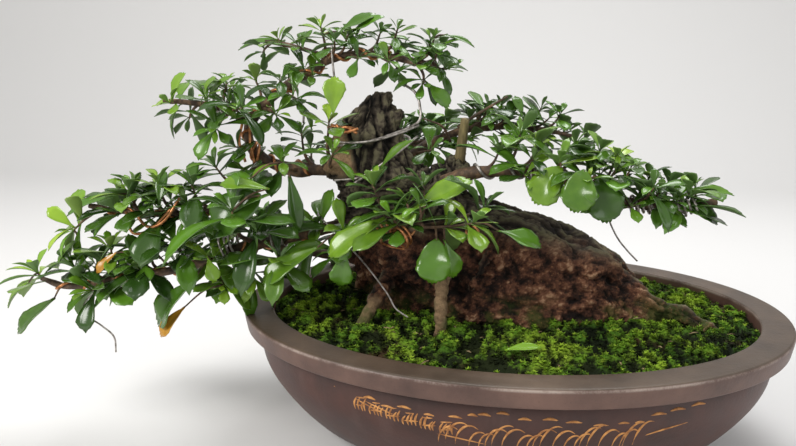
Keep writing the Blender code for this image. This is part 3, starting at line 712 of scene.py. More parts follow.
def make_shoots(moss, count=19000, patch_size=80):
    """Star-shaped shoots planted on the cushions, in small patches, because a bmesh operator
    slows down as its mesh grows."""
    patches = []
    spots = []
    while len(patches) * patch_size < count:
        spot, swell = moss_point(math.sqrt(chance.random()) * 0.995, chance.uniform(0, math.tau))
        if chance.random() > swell * 1.2 - 0.08:
            continue
        spots.append((spot, swell, chance.uniform(0.0012, 0.0024)))
        if len(spots) == patch_size:
            patch = bmesh.new()
            patch.verts.layers.float.new("swell")
            patch.verts.layers.float.new("tone")
            plant_shoots(patch, spots)
            patches.append(patch)
            spots = []
    return finished("moss_shoots", gather(patches), moss)


# %% Moss finish
def moss_finish():
    moss = Finish("cushion_moss", roughness=0.85)
    swell = moss.attribute("swell")
    tone = moss.attribute("tone")
    patch = moss.noise(30, 3)
    fleck = moss.noise(700, 3)
    # painted shade: the moss in the gaps between cushions is near-black, and the lit colour on the
    # cushion tops is painted light
    gap_shade = moss.ramp(patch, (0.35, (0.006, 0.01, 0.003)), (0.65, (0.016, 0.022, 0.005)))
    lit = moss.ramp(patch, (0.34, (0.055, 0.135, 0.012)), (0.5, (0.12, 0.25, 0.018)),
                    (0.64, (0.26, 0.4, 0.03)))
    lit = moss.mix(tone * tone * 0.7, lit, (0.38, 0.52, 0.05))
    colour = moss.mix(moss.step(swell + fleck * 0.5 - 0.25, 0.42, 0.86), gap_shade, lit)
    dead = moss.step(moss.noise(19, 4), 0.6, 0.68) * moss.step(0.7 - swell, 0.0, 0.2)
    colour = moss.mix(dead, colour, (0.05, 0.03, 0.014))
    return moss.wear(Base_Color=colour, Specular_IOR_Level=0.15,
                     Normal=moss.bump(fleck, 0.8, 0.001))


moss = moss_finish()
make_carpet(moss)
make_shoots(moss)


# %% [markdown]
# Dead twig ends and leaf stalks drop on the moss and stay there. They are short bent tubes.

# %% Litter on the moss
def make_litter(count=90):
    """Short dry sticks lying on the cushions."""
    straw = Finish("dry_straw", roughness=0.9)
    tone = straw.noise(150, 2)
    colour = straw.ramp(tone, (0.35, (0.1, 0.06, 0.028)), (0.65, (0.38, 0.28, 0.15)))
    straw.wear(Base_Color=colour)
    sticks = []
    for _ in range(count):
        spot, _ = moss_point(math.sqrt(chance.random()) * 0.97, chance.uniform(0, math.tau))
        heading = chance.uniform(0, math.tau)
        half = Vector((math.cos(heading), math.sin(heading), chance.uniform(-0.3, 0.3)))
        half *= chance.uniform(0.001, 0.0034)
        lift = UP * chance.uniform(0.001, 0.0022)
        route = [spot + lift - half, spot + lift + UP * 0.0004, spot + lift + half]
        sticks.append(tube(route, [0.0003, 0.00042, 0.0002], 5))
    return finished("moss_litter", gather(sticks), straw.material)


make_litter()


# %% [markdown]
# ## The trunk
#
# The base is a long sloping mound with a short cut-off stem at its left end: ovals of
# different reach stacked up its height, as the frame has it, with roots that run off it. A
# voxel remesh welds them like grown wood. Then every point is pushed along its normal: deep
# ragged hollows on the torn front, long ridges of bark elsewhere.

# %% Trunk mass
# Height, then how far the oval reaches left, right, to the front and to the back
TRUNK_LEVELS = [[value / MM for value in row] for row in (
    (71, -82, 86, -32, 34), (80, -96, 104, -43, 48), (95, -104, 113, -47, 55),
    (112, -110, 101, -44, 52), (128, -116, 85, -41, 48), (141, -120, 67, -38, 44),
    (152, -124, 47, -36, 41), (161, -127, 24, -34, 38), (169, -128, -10, -32, 36),
    (181, -130, -41, -30, 33), (193, -132, -60, -28, 30), (205, -134, -72, -26, 28),
    (217, -134, -78, -24, 26), (229, -129, -81, -21, 23), (241, -122, -84, -17, 19),
    (252, -116, -88, -13, 14),
)]
ROOTS = [
    ([(-42, -24, 136), (-44, -54, 127), (-44, -66, 110), (-44, -69, 86)], 0.005, 0.0037),
    ([(-10, -36, 146), (-15, -44.5, 139), (-18, -47.5, 132), (-23, -49, 124),
      (-26, -48, 116)], 0.0026, 0.0018),
    ([(-80, -16, 126), (-90, -46, 112), (-97, -56, 99), (-103, -64, 86)], 0.0056, 0.0034),
    ([(78, -12, 112), (104, -16, 103), (126, -18, 96), (146, -24, 86)], 0.0085, 0.0035),
    ([(-60, 34, 118), (-70, 60, 104), (-80, 82, 86)], 0.008, 0.0036),
    ([(30, 36, 116), (42, 62, 102), (50, 82, 86)], 0.0085, 0.0036),
]
FLUTE_DEPTH = 0.08


def trunk_mass():
    """Stacked ovals, a little fluted."""
    levels = smooth_route([(row[1], row[2], row[0]) for row in TRUNK_LEVELS], 4)
    depths = smooth_route([(row[3], row[4], row[0]) for row in TRUNK_LEVELS], 4)

    def place(u, v):
        i = round(v * (len(levels) - 1))
        left, right, height = levels[i]
        front, back, _ = depths[i]
        angle = math.tau * u
        flute = 1 + FLUTE_DEPTH * (0.6 * math.sin(5 * angle + height * 40)
                                   + 0.4 * math.sin(9 * angle - height * 70))
        return POT + Vector(((left + right) / 2 + (right - left) / 2 * flute * math.cos(angle),
                             (front + back) / 2 + (back - front) / 2 * flute * math.sin(angle),
                             height))

    return bent_grid(96, len(levels) - 1, place)


# Knobs of wood: the place, the radius and how it is stretched
KNOTS = [((-82, -6, 236), 0.006, (1.2, 1, 0.8)), ((-122, -10, 196), 0.016, (1.1, 1, 0.7)),
         ((-66, -10, 186), 0.015, (1.3, 1, 0.8)), ((-116, -8, 154), 0.013, (1.1, 1, 0.8)),
         ((-86, -22, 160), 0.012, (1, 1.2, 1)), ((-45, 4, 190), 0.014, (1.2, 1.1, 1)),
         ((52, -18, 130), 0.016, (1.8, 1, 0.8)), ((-20, -26, 134), 0.016, (1.8, 1, 0.9))]


def trunk_parts():
    """Everything that is welded into the trunk."""
    parts = [trunk_mass()]
    for route, start, end in ROOTS:
        path = smooth_route(placed(route), 6)
        parts.append(tube(path, taper(start, end, len(path)), 14))
    for spot, size, stretch in KNOTS:
        bm = bmesh.new()
        place = Matrix.Translation(placed([spot])[0]) @ Matrix.Diagonal((*stretch, 1))
        bmesh.ops.create_icosphere(bm, subdivisions=3, radius=size, matrix=place)
        parts.append(bm)
    return parts


# %% Bark in relief
def fissures(spot, sharp):
    """1 on plates of bark, falling to 0 in narrow cracks."""
    return min(1.0, abs(noise.noise(spot)) * sharp)


def between(value, low, high):
    """0 below low, 1 above high, even between."""
    return max(0.0, min(1.0, (value - low) / (high - low)))


def bark_push(spot, normal):
    """How far a point of the trunk is pushed out, how deep in a crack it lies, how torn it is
    and how bare."""
    here = spot - POT
    stem = between(here.z, 0.16, 0.19) * between(-here.x, 0.03, 0.07)
    warp = noise.noise_vector(here * 35)
    upright = Vector((here.x * 105, here.y * 105, here.z * 26)) + 0.9 * warp
    lying = Vector((here.x * 24, here.y * 80, here.z * 90 + here.x * 45)) + 0.9 * warp
    grain = lying.lerp(upright, stem)
    plates = fissures(grain, 4.5)
    chips = fissures(grain * 2.9 + Vector((3, 1, 7)), 4.0)
    lumps = noise.noise(here * 48)
    fuzz = noise.fractal(here * 330, 0.6, 2.0, 3)
    push = 0.003 * plates + 0.0013 * chips + 0.0022 * lumps + 0.0006 * fuzz - 0.003
    push += 0.0016 * noise.noise(here * 150) - 0.0018 * stem
    crack = 0.62 * plates + 0.38 * chips + 0.25 * fuzz

    torn = between(-normal.y, 0.0, 0.5) * (1 - stem)
    torn *= between(0.16 - here.z - 0.2 * max(0.0, here.x), 0.0, 0.016)
    splinter = Vector((here.x * 100, here.y * 120, here.z * 130 + here.x * 25)) + 1.1 * warp
    rag = noise.fractal(splinter, 0.45, 2.2, 5) * 0.9
    pit = noise.noise(here * 75 + Vector((9, 2, 4)))
    push += torn * (0.003 * rag + 0.004 * min(0.2, pit) - push * 0.6)
    crack += torn * (0.55 + 0.5 * rag + 0.4 * min(0.25, pit) - crack)

    bare = between(-0.113 - here.x - 0.3 * (here.z - 0.205), 0.0, 0.003)
    bare *= between(here.z, 0.19, 0.196) * between(0.24 - here.z, 0.0, 0.006)
    bare *= between(-normal.y, 0.1, 0.4)
    groove = between(0.0022 - abs(here.x + 0.1115 + 0.3 * (here.z - 0.205)), 0.0, 0.0018)
    groove *= between(here.z, 0.192, 0.204) * between(-normal.y, 0.2, 0.5)
    push += -bare * (push + 0.0018) * 0.8 - 0.004 * groove
    crack += bare * (0.7 - crack) - 1.1 * groove

    root = between(-here.y, 0.05, 0.056) * between(here.z, 0.09, 0.096)
    root *= between(0.014 - min(abs(here.x + 0.044), abs(here.x + 0.097)), 0.0, 0.004)
    crack += root * (0.35 + 0.5 * plates - crack)
    push += root * (0.0012 * plates - 0.0006 - push)
    return push, crack, torn * (1 - root), max(bare, 0.85 * root)


# %% Weld and carve
WELD_GRAIN = 0.00125
SCAR_NAMES = ("crack", "torn", "bare")


def make_trunk(bark):
    """Weld the parts, then carve the bark."""
    item = solid("trunk_parts", gather(trunk_parts()))
    weld = item.modifiers.new("weld", "REMESH")
    weld.mode = "VOXEL"
    weld.voxel_size = WELD_GRAIN
    skin = after_modifiers(item)
    bpy.data.objects.remove(item, do_unlink=True)

    bm = bmesh.new()
    bm.from_mesh(skin)
    bpy.data.meshes.remove(skin)
    bmesh.ops.smooth_vert(bm, verts=bm.verts, factor=0.5, use_axis_x=True, use_axis_y=True,
                          use_axis_z=True)
    bm.normal_update()
    for name in SCAR_NAMES:
        bm.verts.layers.float.new(name)
    layers = [bm.verts.layers.float[name] for name in SCAR_NAMES]
    moves = []
    for vertex in bm.verts:
        push, *wear = bark_push(vertex.co, vertex.normal)
        for layer, value in zip(layers, wear):
            vertex[layer] = value
        here = vertex.co - POT
        shoulder = between(here.z, 0.226, 0.256) * between(-0.1 - here.x, 0.0, 0.018)
        moves.append(vertex.normal * push - UP * 0.016 * shoulder)
    for vertex, move in zip(bm.verts, moves):
        vertex.co += move
    bm.normal_update()
    return finished("trunk_wood", bm, bark, ["trunk"])


# %% [markdown]
# Old wood is not one brown. The ridge is nearly black and dry, the torn front shows rusty red
# fibre with pale splinters, the stem is grey-brown with a tan scar where bark came away.
# Cracks stay dark because light doesn't reach them, and that is stored on the mesh as depth.

# %% Bark finish
def bark_finish():
    bark = Finish("old_bark", roughness=0.85)
    crack = bark.attribute("crack")
    torn = bark.attribute("torn")
    bare = bark.attribute("bare")
    cloud = bark.noise(45, 5)
    fleck = bark.noise(420, 4)
    grain = bark.noise(230, 6, stretch=(0.9, 1, 1), rough=0.8)
    height = bark.height()
    dry = bark.ramp(crack + (cloud - 0.5) * 0.6, (0.28, (0.006, 0.005, 0.004)),
                    (0.6, (0.036, 0.028, 0.02)), (0.85, (0.1, 0.082, 0.058)),
                    (1.0, (0.2, 0.165, 0.115)))
    rust = bark.ramp(crack + (grain - 0.5) * 1.6, (0.2, (0.007, 0.004, 0.003)),
                     (0.46, (0.042, 0.018, 0.011)), (0.66, (0.11, 0.044, 0.025)),
                     (0.86, (0.21, 0.096, 0.052)), (1.0, (0.4, 0.24, 0.14)))
    scar = bark.ramp(grain, (0.3, (0.09, 0.052, 0.026)), (0.6, (0.36, 0.24, 0.13)))
    ridge = bark.step(height, 0.128, 0.165) * (1 - bark.step(height, 0.175, 0.195))
    dry = bark.mix(ridge * 0.45, dry, (0.02, 0.014, 0.01))
    colour = bark.mix(torn, dry, rust)
    colour = bark.mix(bare * bark.step(crack, 0.2, 0.5), colour, scar)
    colour = bark.mix(bark.step(fleck, 0.62, 0.75) * 0.25, colour, (0.26, 0.2, 0.14))
    # near the foot the wood is mixed to a dark moss-green: a green stain, and also painted shade
    # in the undercut where the mound meets the moss
    low_green_and_shade = bark.step(0.118 - height, 0.0, 0.02) * bark.step(cloud, 0.46, 0.6)
    colour = bark.mix(low_green_and_shade * 0.7, colour, (0.045, 0.072, 0.01))
    lichen = bark.step(cloud * crack, 0.36, 0.5) * (1 - torn) * 0.4
    colour = bark.mix(lichen, colour, (0.08, 0.09, 0.03))
    amber = bark.step(bark.noise(620, 3), 0.6, 0.7) * torn * bark.step(crack, 0.25, 0.6)
    colour = bark.mix(amber * 0.6, colour, (0.36, 0.17, 0.07))
    return bark.wear(Base_Color=colour, Roughness=0.95 - 0.2 * cloud, Specular_IOR_Level=0.25,
                     Normal=bark.bump(fleck * 0.6 + grain, 1.0, 0.002))


make_trunk(bark_finish())


# %% [markdown]
# ## Branches
#
# Each branch is a tapering tube along the route that the frame's branch takes, with knuckles
# where older twigs were cut. They share one piece, because they are one wood.

# %% Branch routes
# Each branch: its route, then its radius at the foot and at the tip
BRANCHES = {
    "leader": ([
        (-112, -2, 194), (-140, -6, 194), (-168, -10, 196), (-190, -12, 208), (-194, -10, 226),
        (-180, -8, 244), (-155, -4, 262), (-130, 0, 276), (-105, 4, 279), (-80, 8, 275),
        (-56, 10, 271)], 0.0048, 0.0019),
    "left_low": ([
        (-108, -8, 157), (-138, -22, 152), (-166, -34, 146), (-192, -44, 142), (-215, -52, 134),
        (-240, -56, 126), (-268, -60, 121), (-294, -62, 117), (-318, -63, 112),
        (-340, -62, 117)], 0.005, 0.0018),
    "left_middle": ([
        (-181, -18, 193), (-194, -28, 184), (-206, -38, 173), (-224, -45, 167), (-250, -50, 166),
        (-276, -54, 168), (-300, -57, 172)], 0.0034, 0.0016),
    "left_back": ([
        (-98, 14, 132), (-128, 30, 120), (-160, 40, 117), (-192, 50, 120),
        (-222, 58, 128)], 0.0046, 0.002),
    "left_high": ([
        (-199, -12, 232), (-214, -18, 240), (-232, -24, 244), (-252, -28, 246)], 0.0024, 0.0014),
    "apex_twig": ([
        (-143, 1, 279), (-156, 2, 283), (-170, 4, 286), (-184, 5, 288)], 0.002, 0.0012),
    "right_low": ([
        (-70, -6, 176), (-46, -14, 190), (-24, -20, 197), (6, -24, 199), (34, -28, 196),
        (60, -32, 188), (86, -34, 180), (112, -34, 178), (136, -32, 183)], 0.0052, 0.0018),
    "right_back": ([
        (-86, 10, 196), (-62, 22, 212), (-36, 30, 222), (-8, 38, 224), (22, 44, 222),
        (50, 48, 216)], 0.0036, 0.0013),
    "front": ([
        (-84, -20, 160), (-80, -40, 159), (-76, -56, 158), (-68, -66, 163),
        (-56, -72, 170)], 0.0032, 0.0018),
    "rear": ([
        (-100, 16, 184), (-98, 42, 190), (-92, 66, 198), (-80, 88, 204),
        (-64, 104, 208)], 0.0044, 0.0018),
}
PEG = ([(-38, 4, 200), (-36, 2, 216), (-34, 0, 233)], 0.00425, 0.00312)
STUBS = [
    ([(-40, 10, 226), (-22, 8, 238), (-4, 6, 249)], 0.0013, 0.0008),
    ([(-46, 20, 214), (-52, 14, 226), (-66, 10, 232)], 0.0011, 0.0006),
]


def branch_shape(points, start, end):
    """A branch's route and its knuckled radii."""
    route = smooth_route(placed(points), 8)
    radii = []
    for i, radius in enumerate(taper(start, end, len(route))):
        knuckle = max(0.0, noise.noise(route[i] * 70)) * 0.7
        radii.append(radius * (0.94 + knuckle))
    return route, radii


branch_routes = {name: branch_shape(*shape) for name, shape in BRANCHES.items()}
print(len(branch_routes), "branches")


# %% [markdown]
# ## Training wire
#
# Soft aluminium wire is wound along each branch and holds the bend given to it. A coil is a
# helix in the branch's own moving frame. Brown anodised wire is on the heavy wood, bare silver
# wire on the younger.

# %% Wire routes
# Branch: where the coil starts and ends along it, how many turns, and which way round
COILS = {
    "leader": (0.13, 0.86, 9, 1),
    "left_low": (0.14, 0.93, 8, -1),
    "left_middle": (0.16, 0.9, 5, 1),
    "right_low": (0.24, 0.93, 8, 1),
    "front": (0.42, 0.86, 2.5, 1),
}
BARE_COIL = "right_low"
WIRE_RADIUS = 0.0011
COIL_STEPS = 20
# Round the trunk: angle in degrees and height in metres
TRUNK_WIRE = [(238, 0.186), (270, 0.197), (315, 0.21), (360, 0.217), (405, 0.218), (450, 0.217),
              (495, 0.214), (540, 0.212), (585, 0.214), (630, 0.217), (668, 0.222)]
TRUNK_WIRE_TAIL = [(-67, -14, 231), (-66, -10, 243), (-70, -6, 252), (-78, -2, 257)]
TIES = {
    "wire_tie_left": [(-66, -68, 103.5), (-75, -66, 109), (-82, -64, 120), (-100, -58, 140),
        (-122, -48, 158), (-134, -36, 164), (-140, -20, 163.5)],
    "wire_tie_right": [(91, -14, 135), (84, -13, 142), (76, -14, 152), (68, -20, 168),
        (62, -20, 188), (66, -26, 196), (68, -36, 195)],
    "wire_tail_left": [(-296, -66.5, 110), (-301, -73, 103), (-296, -78, 96), (-285, -80, 90),
        (-276, -80, 82), (-276, -79, 70)],
}
# Loose loops: middle, radius, axis and turns
BROWN_LOOPS = [
    ((-75, -68, 157), 0.0085, (0.1, 0.5, 1.0), 1.8),
    ((-70, -68, 160), 0.007, (0.8, 0.7, 0.3), 1.6),
    ((-82, -64, 162), 0.005, (0.9, 0.1, 0.5), 2.4),
    ((-24, -64, 162), 0.0055, (0.8, 0.8, 0.2), 1.3),
    ((-122, -12, 226), 0.012, (0.1, 0.2, 1.0), 1.3),
]
BARE_LOOPS = [
    ((-198, -50, 144), 0.0085, (1.0, 0.2, 0.3), 3.2),
    ((-166, -36, 150), 0.008, (1.0, 0.1, 0.1), 2.8),
    ((-212, -18, 242), 0.0045, (1.0, 0.3, 0.1), 3.0),
    ((16, -28, 196), 0.007, (1.0, 0.2, 0.0), 2.7),
    ((86, -36, 180), 0.0062, (1.0, 0.1, 0.2), 4.2),
    ((116, -35, 179), 0.0052, (1.0, 0.0, 0.2), 3.6),
]
STRANDS = [
    [(-270, -60, 169), (-262, -68, 156), (-248, -68, 159), (-234, -60, 174)],
    [(-264, -61, 170), (-250, -69, 161), (-238, -68, 165), (-229, -60, 180)],
    [(-196, -18, 230), (-198.5, -20, 216), (-194, -21, 201)],
    [(-190, -19, 231), (-189.5, -21.5, 215), (-187, -20, 199)],
    [(-184, -16, 227), (-183, -20, 214), (-185, -21, 202)],
    [(-124, -27, 224), (-116, -30, 228.5), (-108, -29, 224)],
    [(-123, -29, 230), (-117, -31, 225), (-107, -30, 227.5)],
]
SLINGS = [
    [(-131, -5, 286), (-130, -8, 276), (-128.5, -9, 262)],
    [(-168, -12, 262), (-164, -16, 252), (-150, -20, 243), (-149, -21, 230)],
    [(-130, -24, 218.5), (-112, -34, 218), (-94, -33, 220), (-78, -26, 224.5),
     (-66, -14, 229)],
    [(-124, -34, 191), (-104, -41, 195), (-86, -40, 206), (-74, -34, 215), (-66, -22, 222)],
]


# %% Wire shapes
LOOP_STEPS = 18


def loop(centre, radius, axis, turns):
    """A loose coil of wire about a centre."""
    axis = Vector(axis).normalized()
    side = axis.orthogonal().normalized()
    other = axis.cross(side)
    points = []
    for i in range(round(turns * LOOP_STEPS) + 1):
        angle = math.tau * i / LOOP_STEPS
        reach = radius * (1 + 0.12 * math.sin(angle * 0.37 + radius * 900))
        points.append(placed([centre])[0] + axis * (i / LOOP_STEPS - turns / 2) * 0.0036
                      + reach * (math.cos(angle) * side + math.sin(angle) * other))
    return points


def coil(branch):
    """A helix that hugs its branch."""
    first, last, turns, hand = COILS[branch]
    route, radii = branch_routes[branch]
    axes = frames(route)
    steps = round(turns * COIL_STEPS)
    points = []
    for i in range(steps + 1):
        along = (first + (last - first) * i / steps) * (len(route) - 1)
        low = min(int(along), len(route) - 2)
        part = along - low
        centre = route[low].lerp(route[low + 1], part)
        side = axes[low][1].lerp(axes[low + 1][1], part)
        other = axes[low][2].lerp(axes[low + 1][2], part)
        reach = radii[low] * 0.95 + WIRE_RADIUS
        angle = hand * math.tau * i / COIL_STEPS
        points.append(centre + reach * (math.cos(angle) * side + math.sin(angle) * other))
    return points


def trunk_side(angle, height, clearance):
    """A point beside the trunk, clear of its flutes."""
    levels = [row[0] for row in TRUNK_LEVELS]
    level = max(i for i in range(len(levels) - 1) if levels[i] <= height)
    part = (height - levels[level]) / (levels[level + 1] - levels[level])
    left, right, front, back = (low + (high - low) * part for low, high in
                                zip(TRUNK_LEVELS[level][1:], TRUNK_LEVELS[level + 1][1:]))
    reach_x = (right - left) / 2 * (1 + FLUTE_DEPTH) + clearance
    reach_y = (back - front) / 2 * (1 + FLUTE_DEPTH) + clearance
    return POT + Vector(((left + right) / 2 + reach_x * math.cos(angle),
                         (front + back) / 2 + reach_y * math.sin(angle), height))


def trunk_turns():
    """The wire round the trunk, then its free end."""
    knots = [trunk_side(math.radians(angle), height, WIRE_RADIUS)
             for angle, height in TRUNK_WIRE]
    return smooth_route([*knots, *placed(TRUNK_WIRE_TAIL)], 8)


# %% All the wire
def wire(route, radius=WIRE_RADIUS):
    """A length of wire along a route."""
    return tube(route, [radius] * len(route), 8)


def make_wires(copper, silver):
    """All the wire, in two pieces by its metal."""
    wound = [name for name in COILS if name != BARE_COIL]
    brown = [wire(coil(name)) for name in wound]
    brown += [wire(smooth_route(placed(points), 6)) for points in STRANDS]
    brown += [wire(loop(*shape), 0.0009) for shape in BROWN_LOOPS]
    finished("brown_wire", gather(brown), copper,
             [f"wire_{name}" for name in wound])
    bare = [wire(coil(BARE_COIL)), wire(trunk_turns(), WIRE_RADIUS * 0.9)]
    bare += [wire(smooth_route(placed(points), 8), 0.00062) for points in TIES.values()]
    bare += [wire(smooth_route(placed(points), 8), 0.0008) for points in SLINGS]
    bare += [wire(loop(*shape), 0.0009) for shape in BARE_LOOPS]
    finished("silver_wire", gather(bare), silver,
             [f"wire_{BARE_COIL}", "wire_trunk", *TIES])


def wire_finish(name, dark, light):
    wire = Finish(name, roughness=0.38, metallic=0.85)
    scuff = wire.noise(300, 4)
    colour = wire.ramp(scuff, (0.35, dark), (0.65, light))
    return wire.wear(Base_Color=colour, Roughness=0.3 + scuff * 0.25)


make_wires(wire_finish("brown_anodised", (0.3, 0.11, 0.04), (0.68, 0.32, 0.14)),
           wire_finish("bare_aluminium", (0.16, 0.14, 0.12), (0.52, 0.48, 0.45)))


# %% [markdown]
# ## Leaves
#
# The leaf is a spoon: narrow at the foot, widest near the end, with three blunt teeth there.
# It starts as a small grid, is shaped, folded along its rib and given a thickness. Four small
# shapes, from flat to curled, are repeated over the tree, turned by the golden angle round each
# shoot, as the real plant does. Four large ones, on a finer grid, are for leaves seen singly.

# %% Leaf shapes
def outline(along, sharp, blunt):
    """Half width of a leaf at a fraction of its length, 1 at its widest."""
    widest = (sharp / (sharp + blunt / 2)) ** (1 / blunt)
    most = widest ** sharp * math.sqrt(1 - widest ** blunt)
    return along ** sharp * math.sqrt(1 - along ** blunt) / most


SORT_ALONG = Vector((97, 13, 1))
LAST_ROW = 0.93  # where along a leaf its toothed end begins


def leaf_shape(name, columns, rows, width, sharp, blunt, fold, droop, wave=0.0):
    """A leaf one unit long, pointing along +Y, with its upper side up.

    Its end is an arc with blunt teeth, because a grid row drawn to a point would pinch.
    """
    bm = bmesh.new()
    bmesh.ops.create_grid(bm, x_segments=columns, y_segments=rows, size=0.5, calc_uvs=True)
    for vertex in bm.verts:
        side = vertex.co.x * 2
        row = round((vertex.co.y + 0.5) * rows)
        along = 1 - (1 - row / rows) ** 1.3
        column = round((side + 1) * columns / 2)
        half = width * outline(min(along, LAST_ROW), sharp, blunt) if row else 0.028
        if row == rows:
            half *= 0.62
            tooth = 0.028 if column % 2 == (columns // 2) % 2 else -0.012
            length = 1 - 0.075 * side * side + tooth
        else:
            length = along * LAST_ROW
            if abs(side) > 0.99 and row > rows * 0.45:
                half *= 1.04 if row % 2 else 0.97
        x = side * half
        lift = fold * abs(x) - droop * length ** 2.2 + wave * math.sin(9 * length) * side * half
        vertex.co = Vector((x, length, lift))
    bm.normal_update()
    bmesh.ops.solidify(bm, geom=bm.faces[:], thickness=0.012)
    bmesh.ops.recalc_face_normals(bm, faces=bm.faces)
    # The solidify operator leaves its points and faces in an order that varies between runs
    bm.verts.sort(key=lambda vertex: vertex.co.dot(SORT_ALONG))
    bm.faces.sort(key=lambda face: face.calc_center_median().dot(SORT_ALONG))
    bm.normal_update()
    under = bm.verts.layers.float.new("under")
    for vertex in bm.verts:
        vertex[under] = 1.0 if vertex.normal.z < 0 else 0.0
    mesh = bpy.data.meshes.new(name)
    bm.to_mesh(mesh)
    bm.free()
    return mesh


SMALL_GRID = (4, 6)
LARGE_GRID = (8, 10)
# Name: grid, half width, how sharp the foot and how blunt the end is, fold, droop and wave
LEAF_KINDS = {
    "flat": (*SMALL_GRID, 0.22, 1.3, 6.0, 0.12, 0.1),
    "spoon": (*SMALL_GRID, 0.25, 1.6, 7.0, 0.3, 0.24),
    "curled": (*SMALL_GRID, 0.21, 1.4, 5.0, 0.45, 0.5),
    "narrow": (*SMALL_GRID, 0.16, 1.1, 5.0, 0.4, 0.34),
    "big_flat": (*LARGE_GRID, 0.22, 1.05, 4.5, 0.25, 0.16, 0.1),
    "big_spoon": (*LARGE_GRID, 0.3, 1.35, 6.0, 0.25, 0.22, 0.15),
    "big_round": (*LARGE_GRID, 0.4, 0.6, 4.2, 0.14, 0.12, 0.22),
    "big_narrow": (6, 10, 0.135, 0.8, 3.0, 0.45, 0.22, 0.1),
}
LEAF_SHAPES = {name: leaf_shape(name, *kind) for name, kind in LEAF_KINDS.items()}
LEAF_POINTS = {name: len(mesh.vertices) for name, mesh in LEAF_SHAPES.items()}
print("leaf shapes", LEAF_POINTS)


# %% [markdown]
# Where shoots grow: the branch each twig leaves, the place its rosette reaches, how many leaves,
# how long they are and how young. The list follows how this tree is dressed: pads at the left,
# a cap over the stem, a flat pad at the right, and a few shoots towards the viewer.

